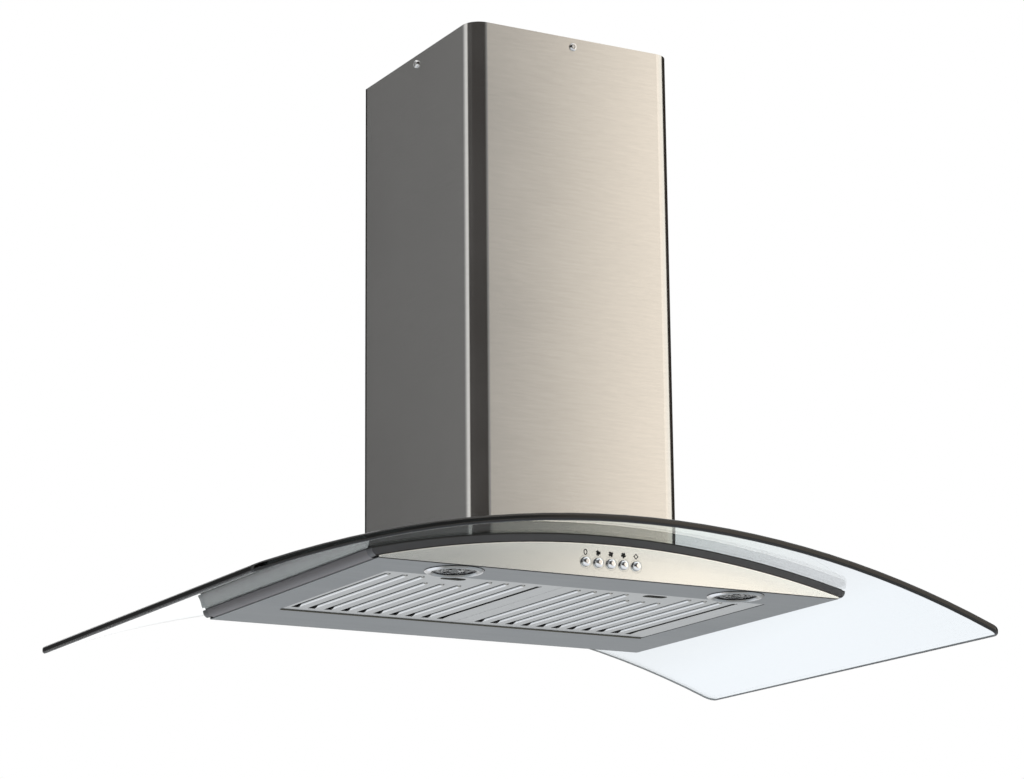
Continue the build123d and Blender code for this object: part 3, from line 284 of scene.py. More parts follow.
def mapped(tree, place, value, first, last, low=0.0, high=1.0):
    """A value between first and last, mapped to between low and high and clamped."""
    change = add_node(tree, "ShaderNodeMapRange", place, clamp=True)
    put(change, From_Min=first, From_Max=last, To_Min=low, To_Max=high)
    tree.links.new(value, change.inputs["Value"])
    return change.outputs["Result"]


def mixed(tree, place, mask, first, second):
    """A colour from first to second by a mask, each a plain colour or a socket."""
    mix = add_node(tree, "ShaderNodeMix", place, data_type="RGBA")
    tree.links.new(mask, mix.inputs[0])
    feed(tree, mix.inputs[6], first)
    feed(tree, mix.inputs[7], second)
    return mix.outputs[2]


def new_group(name, inputs, outputs):
    """An empty shader node group with its sockets, and its input and output nodes."""
    tree = bpy.data.node_groups.new(name, "ShaderNodeTree")
    for label, kind, value in inputs:
        socket = tree.interface.new_socket(label, in_out="INPUT", socket_type=kind)
        if value is not None:
            socket.default_value = value
    for label, kind in outputs:
        tree.interface.new_socket(label, in_out="OUTPUT", socket_type=kind)
    entry = add_node(tree, "NodeGroupInput", (-900, 0))
    leave = add_node(tree, "NodeGroupOutput", (900, 0))
    return tree, entry, leave


def brushed_grain_group():
    """Brushing lines with faint cloudy blotches, on coordinates that are already stretched."""
    tree, entry, leave = new_group(
        "Brushed grain",
        [
            ("Stretched", "NodeSocketVector", None),
            ("Even", "NodeSocketVector", None),
            ("Blotch Size", "NodeSocketFloat", 6.0),
        ],
        [("Lines", "NodeSocketFloat"), ("Blotches", "NodeSocketFloat"), ("Height", "NodeSocketFloat")],
    )
    fine = put(add_node(tree, "ShaderNodeTexNoise", (-600, 300)), Scale=1.0, Detail=3.0, Roughness=0.7)
    coarse = put(add_node(tree, "ShaderNodeTexNoise", (-600, 0)), Scale=0.23, Detail=2.0, Roughness=0.6)
    blotch = put(add_node(tree, "ShaderNodeTexNoise", (-600, -300)), Detail=3.0, Roughness=0.55)
    both = add_node(tree, "ShaderNodeMix", (-300, 200), data_type="FLOAT")
    both.inputs[0].default_value = COARSE_SHARE
    link = tree.links.new
    link(entry.outputs["Stretched"], fine.inputs["Vector"])
    link(entry.outputs["Stretched"], coarse.inputs["Vector"])
    link(entry.outputs["Even"], blotch.inputs["Vector"])
    link(entry.outputs["Blotch Size"], blotch.inputs["Scale"])
    link(fine.outputs["Fac"], both.inputs[2])
    link(coarse.outputs["Fac"], both.inputs[3])
    lines = mapped(tree, (0, 200), both.outputs[0], *LINES_SPAN)
    link(lines, leave.inputs["Lines"])
    link(blotch.outputs["Fac"], leave.inputs["Blotches"])
    link(both.outputs[0], leave.inputs["Height"])
    return tree


def speckle_group():
    """Fine grain of paint, rubber or moulded plastic, with slow unevenness under it."""
    tree, entry, leave = new_group(
        "Speckle",
        [
            ("Vector", "NodeSocketVector", None),
            ("Grains per Metre", "NodeSocketFloat", 900.0),
            ("Clouds per Metre", "NodeSocketFloat", 14.0),
        ],
        [("Grain", "NodeSocketFloat"), ("Clouds", "NodeSocketFloat")],
    )
    grain = put(add_node(tree, "ShaderNodeTexNoise", (-300, 200)), Detail=3.0, Roughness=0.65)
    clouds = put(add_node(tree, "ShaderNodeTexNoise", (-300, -200)), Detail=4.0, Roughness=0.5)
    link = tree.links.new
    link(entry.outputs["Vector"], grain.inputs["Vector"])
    link(entry.outputs["Vector"], clouds.inputs["Vector"])
    link(entry.outputs["Grains per Metre"], grain.inputs["Scale"])
    link(entry.outputs["Clouds per Metre"], clouds.inputs["Scale"])
    link(grain.outputs["Fac"], leave.inputs["Grain"])
    link(clouds.outputs["Fac"], leave.inputs["Clouds"])
    return tree


def spangle_group():
    """The crystal patches of zinc-coated sheet."""
    tree, entry, leave = new_group(
        "Zinc spangle",
        [("Vector", "NodeSocketVector", None), ("Crystals per Metre", "NodeSocketFloat", 90.0)],
        [("Patch", "NodeSocketFloat"), ("Feather", "NodeSocketFloat")],
    )
    cells = add_node(tree, "ShaderNodeTexVoronoi", (-500, 200), feature="F1")
    feather = put(add_node(tree, "ShaderNodeTexNoise", (-500, -200)), Detail=5.0, Roughness=0.7)
    split = add_node(tree, "ShaderNodeSeparateColor", (-250, 200))
    link = tree.links.new
    link(entry.outputs["Vector"], cells.inputs["Vector"])
    link(entry.outputs["Vector"], feather.inputs["Vector"])
    link(entry.outputs["Crystals per Metre"], cells.inputs["Scale"])
    link(entry.outputs["Crystals per Metre"], feather.inputs["Scale"])
    link(cells.outputs["Color"], split.inputs["Color"])
    link(split.outputs["Red"], leave.inputs["Patch"])
    link(feather.outputs["Fac"], leave.inputs["Feather"])
    return tree


GROUPS = {}


def group_of(maker):
    """A shared node group, built once by its maker."""
    if maker not in GROUPS:
        GROUPS[maker] = maker()
    return GROUPS[maker]


def new_material(name, **plain):
    """A material with its own shader, whose plain values are set on the shader's sockets."""
    material = bpy.data.materials.new(name)
    material.use_nodes = True
    tree = material.node_tree
    shader = tree.nodes[SHADER]
    for label, value in plain.items():
        if label == "Base_Color":
            value = (*value[:3], 1.0)
        shader.inputs[label.replace("_", " ")].default_value = value
    material.diffuse_color = tuple(shader.inputs["Base Color"].default_value)
    return material, tree, shader


def darker(colour, factor):
    """A colour times a factor, as RGBA."""
    return (*(channel * factor for channel in colour[:3]), 1.0)


def mix_colours(tree, shader, mask, first, second):
    """Base colour from first to second by a mask."""
    tree.links.new(mixed(tree, (-350, 300), mask, first, second), shader.inputs["Base Color"])


def vary_roughness(tree, shader, noise, roughness, spread):
    """Roughness that follows a noise between two shares of its plain value."""
    low, high = (roughness * share for share in spread)
    tree.links.new(mapped(tree, (-350, 0), noise, *NOISE_SPAN, low, high), shader.inputs["Roughness"])


def add_bump(tree, shader, height, strength, distance):
    """A bump on the shader's normal."""
    bump = put(add_node(tree, "ShaderNodeBump", (-350, -300)), Strength=strength, Distance=distance)
    tree.links.new(height, bump.inputs["Height"])
    tree.links.new(bump.outputs["Normal"], shader.inputs["Normal"])


def object_axes(tree, output="Object", place=(-1500, 500)):
    """The X, Y and Z of a point's place, normal or direction."""
    spot = add_node(tree, "ShaderNodeTexCoord", place)
    split = add_node(tree, "ShaderNodeSeparateXYZ", (place[0] + 200, place[1]))
    tree.links.new(spot.outputs[output], split.inputs["Vector"])
    return split.outputs["X"], split.outputs["Y"], split.outputs["Z"]


def distance_of(tree, place, first, second):
    """Distance made by two lengths that are square to each other."""
    across = maths(tree, (place[0], place[1] + 100), "MULTIPLY", first, first)
    along = maths(tree, (place[0], place[1] - 100), "MULTIPLY", second, second)
    both = maths(tree, (place[0] + 200, place[1]), "ADD", across, along)
    return maths(tree, (place[0] + 400, place[1]), "SQRT", both)


def arch_radius(tree):
    """Distance of a point from the axis that the glass, trims and panels are bent about."""
    x, _, z = object_axes(tree, "Object", (-1500, 800))
    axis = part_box("glass_canopy")[1].z - GLASS_TOP_RADIUS
    up = maths(tree, (-1100, 800), "SUBTRACT", z, axis)
    return distance_of(tree, (-900, 800), x, up)


def shade_by(tree, mask, colour, place=(-100, 500)):
    """Mixes another colour over the shader's base colour by a mask."""
    base = tree.nodes[SHADER].inputs["Base Color"]
    under = base.links[0].from_socket if base.links else base.default_value
    tree.links.new(mixed(tree, place, mask, under, (*colour[:3], 1.0)), base)


def brushed_material(
    name, colour, roughness, anisotropy, stretch, turn=0.25, axis="Z", contrast=0.1, bump=0.15
):
    """Brushed metal. stretch is grain lines per metre along X, Y and Z."""
    material, tree, shader = new_material(
        name, Base_Color=colour, Metallic=1.0, Roughness=roughness,
        Anisotropic=anisotropy, Anisotropic_Rotation=turn,
    )
    spot = add_node(tree, "ShaderNodeTexCoord", (-1200, 0))
    pull = put(add_node(tree, "ShaderNodeMapping", (-1000, 100)), Scale=stretch)
    grain = add_node(tree, "ShaderNodeGroup", (-750, 0), node_tree=group_of(brushed_grain_group))
    tangent = add_node(tree, "ShaderNodeTangent", (-350, -500), direction_type="RADIAL", axis=axis)
    tree.links.new(spot.outputs["Object"], pull.inputs["Vector"])
    tree.links.new(pull.outputs["Vector"], grain.inputs["Stretched"])
    tree.links.new(spot.outputs["Object"], grain.inputs["Even"])
    tree.links.new(tangent.outputs["Tangent"], shader.inputs["Tangent"])
    mix_colours(
        tree, shader, grain.outputs["Lines"], darker(colour, 1.0 - contrast), darker(colour, 1.0)
    )
    vary_roughness(tree, shader, grain.outputs["Blotches"], roughness, BRUSHED_SPREAD)
    add_bump(tree, shader, grain.outputs["Height"], bump, BRUSHED_DEPTH)
    return material


def speckled_material(name, colour, roughness, grains=900.0, contrast=0.15, bump=0.2, **plain):
    """Paint, rubber or moulded plastic with its fine grain."""
    material, tree, shader = new_material(name, Base_Color=colour, Roughness=roughness, **plain)
    spot = add_node(tree, "ShaderNodeTexCoord", (-1000, 0))
    speckle = add_node(tree, "ShaderNodeGroup", (-750, 0), node_tree=group_of(speckle_group))
    put(speckle, Grains_per_Metre=grains)
    tree.links.new(spot.outputs["Object"], speckle.inputs["Vector"])
    mix_colours(
        tree, shader, speckle.outputs["Clouds"],
        darker(colour, 1.0 - contrast), darker(colour, 1.0 + contrast / 2),
    )
    vary_roughness(tree, shader, speckle.outputs["Clouds"], roughness, SPECKLED_SPREAD)
    add_bump(tree, shader, speckle.outputs["Grain"], bump, GRAIN_DEPTH)
    return material


def spangled_material(name, colour, roughness, contrast=0.2, bump=0.1):
    """Zinc-coated sheet."""
    material, tree, shader = new_material(
        name, Base_Color=colour, Metallic=1.0, Roughness=roughness
    )
    spot = add_node(tree, "ShaderNodeTexCoord", (-1000, 0))
    spangle = add_node(tree, "ShaderNodeGroup", (-750, 0), node_tree=group_of(spangle_group))
    tree.links.new(spot.outputs["Object"], spangle.inputs["Vector"])
    mix_colours(
        tree, shader, spangle.outputs["Patch"],
        darker(colour, 1.0 - contrast), darker(colour, 1.0 + contrast / 2),
    )
    vary_roughness(tree, shader, spangle.outputs["Feather"], roughness, SPANGLED_SPREAD)
    add_bump(tree, shader, spangle.outputs["Feather"], bump, GRAIN_DEPTH)
    return material


def dress(material, *names):
    """Gives CAD nodes their material, in their own slots."""
    for name in names:
        mesh = NODES[name].data
        if not mesh.materials:
            mesh.materials.append(material)
        for slot in range(len(mesh.materials)):
            mesh.materials[slot] = material


# Mesh helpers


def new_piece(name, bm, material, body):
    """Turns a bmesh into a piece that rides on a CAD body, shaded smooth across soft edges."""
    bmesh.ops.recalc_face_normals(bm, faces=bm.faces)
    mesh = bpy.data.meshes.new(name)
    bm.to_mesh(mesh)
    bm.free()
    mesh.materials.append(material)
    mesh.polygons.foreach_set("use_smooth", [True] * len(mesh.polygons))
    mesh.set_sharp_from_angle(angle=math.radians(SHARP_ANGLE))
    piece = bpy.data.objects.new(name, mesh)
    bpy.context.scene.collection.objects.link(piece)
    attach(piece, body)
    return piece


def strip(bm, first, second, y, thickness, closed):
    """A flat raised strip between two lines of (x, z) points, on an upright face that looks towards -Y."""
    near = [bm.verts.new((x, y, z)) for x, z in first]
    far = [bm.verts.new((x, y, z)) for x, z in second]
    count = len(near)
    faces = []
    for i in range(count if closed else count - 1):
        j = (i + 1) % count
        faces.append(bm.faces.new((near[i], near[j], far[j], far[i])))
    raised = bmesh.ops.extrude_face_region(bm, geom=faces)["geom"]
    verts = [item for item in raised if isinstance(item, bmesh.types.BMVert)]
    bmesh.ops.translate(bm, verts=verts, vec=(0.0, -thickness, 0.0))


def loop_points(x, z, across, high, count):
    """Points of an ellipse, or of a polygon when there are few, about (x, z)."""
    turns = [2 * math.pi * i / count for i in range(count)]
    return [(x + across * math.cos(turn), z + high * math.sin(turn)) for turn in turns]


def ring_strip(bm, x, z, outer, inner, count, y, thickness):
    """A closed strip between two ellipses, each given by its half width and half height."""
    outside, inside = loop_points(x, z, *outer, count), loop_points(x, z, *inner, count)
    strip(bm, outside, inside, y, thickness, True)


def fan_sign(bm, x, z, radius, blades, y, thickness):
    """A fan with swept blades round a small hub."""
    hub, hole = HUB_RADIUS * radius, HUB_HOLE * radius
    ring_strip(bm, x, z, (hub, hub), (hole, hole), HUB_SIDES, y, thickness)
    root = hub * BLADE_ROOT
    spread = BLADES_AT_FULL_WIDTH / blades
    for blade in range(blades):
        turn = math.pi / 2 + 2 * math.pi * blade / blades
        ahead, behind = [], []
        for i in range(BLADE_STEPS):
            share = i / (BLADE_STEPS - 1)
            out = root + (radius - root) * share
            middle = turn + BLADE_SWEEP * share
            swell = BLADE_LEAST + BLADE_SWELL * math.sin(math.pi * (share * BLADE_REACH + BLADE_PHASE))
            half = spread * swell * hub / out * BLADE_WIDTH
            ahead.append((x + out * math.cos(middle + half), z + out * math.sin(middle + half)))
            behind.append((x + out * math.cos(middle - half), z + out * math.sin(middle - half)))
        strip(bm, ahead, behind, y, thickness, False)


def middle_of(node):
    """Middle of a CAD node's box."""
    low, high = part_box(node)
    return (low + high) / 2


class HOOD_OT_chimney(bpy.types.Operator):
    """Finish the chimney covers in brushed steel"""

    bl_idname = "hood.chimney"
    bl_label = "Chimney"

    def execute(self, context):
        look = context.scene.hood_finish
        steel = brushed_material(
            "chimney_brushed_steel", look.chimney_steel, look.steel_roughness,
            look.steel_anisotropy, CHIMNEY_GRAIN, bump=0.05,
        )
        tree = steel.node_tree
        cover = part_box("chimney_front_cover")[1]
        x, y, _ = object_axes(tree, "Object", (-1500, 600))
        out = maths(tree, (-1100, 600), "ABSOLUTE", x)
        side = maths(tree, (-900, 600), "GREATER_THAN", out, cover.x - SEAM_WIDTH)
        back = maths(tree, (-900, 500), "GREATER_THAN", y, cover.y - SEAM_DEPTH)
        shade_by(tree, maths(tree, (-700, 600), "MULTIPLY", side, back), look.shade, (-100, 800))
        dress(steel, "chimney_front_cover", "chimney_rear_cover")
        return {"FINISHED"}


class HOOD_OT_body(bpy.types.Operator):
    """Finish the front panel, rear panel and underside tray in brushed steel"""

    bl_idname = "hood.body"
    bl_label = "Body panels and tray"

    def execute(self, context):
        look = context.scene.hood_finish
        panel = brushed_material(
            "panel_brushed_steel", look.body_steel, roughness=0.2, anisotropy=0.9,
            stretch=PANEL_GRAIN, contrast=0.06,
        )
        tree = panel.node_tree
        # painted highlight: a bright line along the panels' top edge, just under the trims
        rim = maths(tree, (-300, 900), "GREATER_THAN", arch_radius(tree), TRIM_LOW_RADIUS - PANEL_RIM)
        shade_by(tree, rim, PAINTED_RIM_HIGHLIGHT, (-100, 900))
        up = object_axes(tree, "Normal")[2]
        bend = maths(tree, (-900, 500), "LESS_THAN", up, BEND_NORMAL)
        shade_by(tree, bend, look.shade, (100, 900))
        tray = brushed_material(
            "tray_brushed_steel", look.tray_steel, roughness=0.34, anisotropy=0.7,
            stretch=TRAY_GRAIN, axis="Y", contrast=0.16,
        )
        dress(panel, "front_panel", "rear_panel")
        dress(tray, "canopy_tray")
        return {"FINISHED"}


class HOOD_OT_glass(bpy.types.Operator):
    """Finish the bent glass, with painted shade on its rounded edges"""

    bl_idname = "hood.glass"
    bl_label = "Glass canopy"

    def execute(self, context):
        look = context.scene.hood_finish
        material, tree, _ = new_material(
            "bent_clear_glass", Base_Color=look.glass_tint, Metallic=0.0, Roughness=0.0,
            IOR=1.5, Transmission_Weight=1.0,
        )
        half_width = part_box("glass_canopy")[1].x
        # painted shade: the glass's rounded front, rear and side edges are painted near black
        front = maths(tree, (-900, 600), "ABSOLUTE", object_axes(tree, "Normal")[1])
        edge = maths(tree, (-700, 600), "GREATER_THAN", front, EDGE_NORMAL)
        out = maths(tree, (-900, 200), "ABSOLUTE", object_axes(tree, "Object", (-1500, 200))[0])
        side = maths(tree, (-700, 200), "GREATER_THAN", out, half_width - GLASS_SIDE_EDGE)
        facing = add_node(tree, "ShaderNodeLayerWeight", (-900, -200))
        grazing = mapped(tree, (-700, -200), facing.outputs["Facing"], *DEPTH_TINT_SPAN)
        shade_by(tree, grazing, look.glass_depth_tint, (-300, 200))
        shade_by(tree, maths(tree, (-500, 400), "MAXIMUM", edge, side), look.glass_edge_shade)
        dress(material, "glass_canopy")
        return {"FINISHED"}


class HOOD_OT_trims(bpy.types.Operator):
    """Paint the trims and finish the rubber seals"""

    bl_idname = "hood.trims"
    bl_label = "Trims and seals"

    def execute(self, context):
        look = context.scene.hood_finish
        charcoal = speckled_material("charcoal_trim_paint", look.trim_paint, 0.35, Coat_Weight=0.3)
        grey = speckled_material("grey_side_trim_paint", look.side_paint, 0.4, Coat_Weight=0.2)
        tree = charcoal.node_tree
        # painted shade: black lines along the charcoal trims' top and lower edges stand for the shadowed
        # gaps at the glass and at the panels
        radius = arch_radius(tree)
        top = maths(tree, (-300, 900), "GREATER_THAN", radius, TRIM_TOP_RADIUS - TRIM_TOP_LINE)
        low = maths(tree, (-300, 700), "LESS_THAN", radius, TRIM_LOW_RADIUS + TRIM_LOW_LINE)
        shade_by(tree, maths(tree, (-100, 800), "MAXIMUM", top, low), PAINTED_GAP_SHADE, (100, 900))
        rubber = speckled_material("black_seal_rubber", (0.02, 0.02, 0.02), 0.7, grains=500.0)
        dress(charcoal, "front_trim", "rear_trim")
        dress(grey, "left_trim", "right_trim")
        dress(rubber, "glass_seal", "glass_gasket_top", "glass_gasket_bottom")
        return {"FINISHED"}


def off_the_back(tree):
    """Mask of the faces that don't look up, where painted shade goes."""
    up = object_axes(tree, "Normal", (-1500, 200))[2]
    return maths(tree, (-900, 500), "LESS_THAN", up, BACK_NORMAL)


def filter_frame_material(look, face):
    """Satin aluminium, with a painted highlight on the slots' lips and painted shade inside the filter."""
    material = brushed_material(
        "filter_satin_aluminium", look.filter_metal, roughness=0.34, anisotropy=0.3,
        stretch=FILTER_GRAIN, axis="X", contrast=0.06,
    )
    tree = material.node_tree
    z = object_axes(tree)[2]
    # painted highlight: the lips near the filter's face are painted near white
    lip = maths(tree, (-900, 900), "LESS_THAN", z, face + LIP_FACE)
    shade_by(tree, lip, look.lip_highlight, (-300, 700))
    # painted shade inside the filter, on faces that don't look up
    high = maths(tree, (-900, 700), "GREATER_THAN", z, face + FILTER_INSIDE)
    inner = maths(tree, (-700, 600), "MULTIPLY", high, off_the_back(tree))
    shade_by(tree, inner, look.filter_inside)
    return material


def rolled_hem(radius):
    """The tray's rolled hem behind the filters, dark with painted shade of the gap there."""
    left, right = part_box("filter_frame_left")[0].x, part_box("filter_frame_right")[1].x
    bm = bmesh.new()
    bmesh.ops.create_cone(
        bm, cap_ends=True, segments=PEG_SIDES, radius1=radius, radius2=radius,
        depth=right - left, matrix=Matrix.Rotation(math.pi / 2, 4, "Y"),
    )
    middle = ((left + right) / 2, OPENING_REAR + radius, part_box("canopy_tray")[0].z)
    bmesh.ops.translate(bm, verts=bm.verts, vec=middle)
    return bm


def slot_dimples(detail, face, last, count, latch_x):
    """Flat dark discs at the front ends of a filter's slots: painted shadow of the dimples there."""
    radius, thickness = detail.dimple_radius, detail.print_thickness
    bm = bmesh.new()
    for i in range(count):
        x = last - i * SLOT_PITCH
        start = SLOT_START_BY_LATCH if abs(x - latch_x) < LATCH_NEAR else SLOT_START
        height = face + DIMPLE_FACE - thickness
        bmesh.ops.create_cone(
            bm, cap_ends=True, segments=PEG_SIDES, radius1=radius, radius2=radius,
            depth=2 * thickness, matrix=Matrix.Translation((x + SLOT_LIP_MIDDLE, start, height)),
        )
    return bm


class HOOD_OT_filters(bpy.types.Operator):
    """Finish the grease filters and their latches"""

    bl_idname = "hood.filters"
    bl_label = "Grease filters"

    def execute(self, context):
        look = context.scene.hood_finish
        detail = context.scene.hood_detail
        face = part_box("filter_frame_left")[0].z
        aluminium = filter_frame_material(look, face)
        baffle = brushed_material(
            "filter_baffle_aluminium", look.filter_metal, roughness=0.38, anisotropy=0.3,
            stretch=FILTER_GRAIN, axis="X", contrast=0.08,
        )
        # painted shade on the baffles' faces that don't look up
        shade_by(baffle.node_tree, off_the_back(baffle.node_tree), look.filter_inside)
        latch = speckled_material("latch_moulded_plastic", (0.03, 0.03, 0.026), 0.5)
        dress(aluminium, "filter_frame_left", "filter_frame_right")
        dress(baffle, "filter_baffles_left", "filter_baffles_right")
        dress(latch, "filter_latch_left", "filter_latch_right")
        # painted shade: the hem's dark steel stands for the shaded gap behind the filters
        hem = speckled_material("rolled_hem_painted_shade", (0.09, 0.085, 0.065), 0.35, Metallic=0.8)
        new_piece("tray_rear_hem", rolled_hem(detail.hem_radius), hem, "hood")
        hole = speckled_material("slot_dimple_shadow", (0.012, 0.012, 0.012), 0.6)
        for side, *slots in FILTER_SLOTS:
            bm = slot_dimples(detail, face, *slots)
            new_piece(f"slot_dimples_{side}", bm, hole, f"filter_{side}")
        return {"FINISHED"}


def button_sign(bm, place, x, z, y, detail):
    """A button's sign: an oval for off, a fan with more blades for each speed, a diamond for light."""
    size, line, thickness = detail.sign_radius, detail.sign_line, detail.print_thickness
    if place == 0:
        across = OVAL_WIDTH * size
        inner = (across - line, size - line)
        ring_strip(bm, x, z, (across, size), inner, OVAL_SIDES, y, thickness)
    elif place == len(BUTTONS) - 1:
        inner = size - DIAMOND_LINE * line
        ring_strip(bm, x, z, (size, size), (inner, inner), DIAMOND_SIDES, y, thickness)
    else:
        fan_sign(bm, x, z, size, FEWEST_BLADES + place - 1, y, thickness)


class HOOD_OT_buttons(bpy.types.Operator):
    """Finish the push buttons and print their lines and signs"""

    bl_idname = "hood.buttons"
    bl_label = "Push buttons"

    def execute(self, context):
        look = context.scene.hood_finish
        detail = context.scene.hood_detail
        chrome = speckled_material(
            "polished_chrome", look.chrome, 0.07, contrast=0.05, bump=0.01, Metallic=1.0
        )
        dress(chrome, *BUTTONS)
        ink_and_bezel_shadow = speckled_material("sign_ink", look.ink_and_bezel_shadow, 0.5, contrast=0.1, bump=0.05)
        line = speckled_material("button_ring_line", (0.38, 0.37, 0.35), 0.4, contrast=0.1, Metallic=0.6)
        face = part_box("front_panel")[0].y
        outer = (detail.ring_radius,) * 2
        inner = (detail.ring_radius - detail.ring_line,) * 2
        signs, rings = bmesh.new(), bmesh.new()
        for place, name in enumerate(BUTTONS):
            x, _, z = middle_of(name)
            ring_strip(rings, x, z, outer, inner, RING_SIDES, face, detail.print_thickness / 2)
            button_sign(signs, place, x, z + detail.sign_gap, face, detail)
        new_piece("button_signs", signs, ink_and_bezel_shadow, "hood")
        new_piece("button_ring_lines", rings, line, "hood")
        return {"FINISHED"}


def beside_lamp(tree, x, place):
    """How far outwards along X a point is from the nearer lamp's middle."""
    left, right = middle_of("lamp_bezel_left").x, middle_of("lamp_bezel_right").x
    aside = maths(tree, place, "SUBTRACT", x, (left + right) / 2)
    out = maths(tree, (place[0] + 200, place[1]), "ABSOLUTE", aside)
    return maths(tree, (place[0] + 400, place[1]), "SUBTRACT", out, (right - left) / 2)


def bezel_material(look):
    """Chrome, with painted shade at the front and rear of each bezel and a painted black shadow where its
    lens sits.
    """
    material = speckled_material(
        "bezel_chrome", look.chrome, 0.1, contrast=0.05, bump=0.01, Metallic=1.0
    )
    tree = material.node_tree
    x, _, z = object_axes(tree)
    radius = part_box("lamp_bezel_right")[1].x - middle_of("lamp_bezel_right").x
    across = maths(tree, (-700, 900), "ABSOLUTE", beside_lamp(tree, x, (-1300, 900)))
    flank = mapped(tree, (-500, 900), across, *(radius * share for share in BEZEL_SHADE_SPAN))
    shade_by(tree, flank, look.bezel_shade, (-300, 900))
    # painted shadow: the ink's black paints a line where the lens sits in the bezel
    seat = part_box("lamp_lens_left")[0].z
    edge = maths(tree, (-900, 700), "GREATER_THAN", z, seat - BEZEL_EDGE)
    shade_by(tree, edge, look.ink_and_bezel_shadow)
    return material


def lens_material(detail):
    """Dark clear glass with pressed rings that a noise swirls, and a painted glint on the rings' crests."""
    material, tree, shader = new_material(
        "lamp_lens_glass", Base_Color=LENS_DARK, Roughness=0.03, IOR=1.5, Transmission_Weight=1.0
    )
    x, y, _ = object_axes(tree, "Object", (-2300, 500))
    across = beside_lamp(tree, x, (-2100, 600))
    along = maths(tree, (-1700, 400), "SUBTRACT", y, middle_of("lamp_lens_left").y)
    distance = distance_of(tree, (-1500, 500), across, along)
    spot = add_node(tree, "ShaderNodeTexCoord", (-1500, 0))
    swirl = put(add_node(tree, "ShaderNodeTexNoise", (-1300, 0)), Scale=SWIRLS_PER_METRE, Detail=2.0)
    tree.links.new(spot.outputs["Object"], swirl.inputs["Vector"])
    rings = maths(tree, (-1000, 300), "MULTIPLY", distance, 2 * math.pi / detail.lens_ripple)
    swirled = maths(tree, (-1000, 100), "MULTIPLY", swirl.outputs["Fac"], SWIRL_TURN)
    ripple = maths(tree, (-700, 400), "SINE", maths(tree, (-850, 400), "ADD", rings, swirled))
    # painted highlight: bright glints on the crests of the rings
    bright = maths(tree, (-500, 400), "GREATER_THAN", ripple, RIPPLE_SHINE)
    shade_by(tree, bright, LENS_PAINTED_GLINT, (-300, 400))
    add_bump(tree, shader, ripple, strength=0.5, distance=RIPPLE_DEPTH)
    return material


def reflector_bowl(node, detail):
    """A bowl over a lamp's lens, with every other ring turned half a facet."""
    low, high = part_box(node)
    middle = (low + high) / 2
    top = high.z + BOWL_GAP
    wide = (high.x - low.x) / 2 - BOWL_MARGIN
    bm = bmesh.new()
    rings = []
    for step in range(BOWL_STEPS + 1):
        share = step / BOWL_STEPS
        radius = wide * math.sqrt(1.0 - BOWL_NARROWING * share)
        height = top + detail.bowl_depth * share
        ring = []
        for i in range(detail.bowl_facets):
            turn = 2 * math.pi * (i + 0.5 * (step % 2)) / detail.bowl_facets
            x, y = middle.x + radius * math.cos(turn), middle.y + radius * math.sin(turn)
            ring.append(bm.verts.new((x, y, height)))
        rings.append(ring)
    for pair in zip(rings, rings[1:]):
        edges = [
            bm.edges.get((ring[i - 1], ring[i])) or bm.edges.new((ring[i - 1], ring[i]))
            for ring in pair for i in range(len(ring))
        ]
        bmesh.ops.bridge_loops(bm, edges=edges)
    bmesh.ops.solidify(bm, geom=bm.faces[:], thickness=BOWL_SHEET)
    return bm


class HOOD_OT_lamps(bpy.types.Operator):
    """Finish the lamps and set a faceted reflector bowl in each"""

    bl_idname = "hood.lamps"
    bl_label = "Lamps"

    def execute(self, context):
        look = context.scene.hood_finish
        detail = context.scene.hood_detail
        can = brushed_material(
            "lamp_can_spun_aluminium", (0.7, 0.7, 0.69), roughness=0.22, anisotropy=0.5,
            stretch=CAN_GRAIN,
        )
        bulb = speckled_material(
            "bulb_reflector_glass", (0.85, 0.85, 0.83), 0.12, grains=400.0, Metallic=0.6
        )
        mirror = speckled_material(
            "bowl_mirror", (0.5, 0.5, 0.47), 0.08, grains=300.0, contrast=0.08, bump=0.02, Metallic=1.0
        )
        for side in ("left", "right"):
            bm = reflector_bowl(f"lamp_lens_{side}", detail)
            piece = new_piece(f"lamp_bowl_{side}", bm, mirror, "hood")
            piece.data.polygons.foreach_set("use_smooth", [False] * len(piece.data.polygons))
        dress(bezel_material(look), "lamp_bezel_left", "lamp_bezel_right")
        dress(lens_material(detail), "lamp_lens_left", "lamp_lens_right")
        dress(can, "lamp_housing_left", "lamp_housing_right")
        dress(bulb, "lamp_bulb_left", "lamp_bulb_right")
        return {"FINISHED"}


# The plain finishes inside: material, colour, roughness, further settings and nodes
INSIDE_FINISHES = (
    (
        "plated_fasteners", (0.62, 0.62, 0.6), 0.2, {"contrast": 0.1, "bump": 0.05, "Metallic": 1.0},
        ("glass_bolts", "glass_nuts", "body_nuts", "post_bolts", "flap_pin", "motor_shaft"),
    ),
    (
        "polished_screws", (0.8, 0.8, 0.8), 0.12, {"contrast": 0.05, "bump": 0.02, "Metallic": 1.0},
        ("chimney_screws",),
    ),
    ("scroll_moulded_plastic", (0.06, 0.062, 0.065), 0.5, {}, ("scroll_left", "scroll_right")),
    ("flap_moulded_plastic", (0.07, 0.07, 0.072), 0.45, {}, ("flap_left", "flap_right")),
    ("motor_enamel", (0.12, 0.125, 0.13), 0.4, {"Coat_Weight": 0.3}, ("motor",)),
    ("switch_moulded_plastic", (0.05, 0.05, 0.05), 0.5, {}, ("switch_block",)),
    ("terminal_moulded_plastic", (0.6, 0.6, 0.58), 0.5, {}, ("terminal_box", "terminal_box_lid")),
    ("capacitor_drawn_shell", (0.75, 0.75, 0.73), 0.35, {}, ("capacitor",)),
)


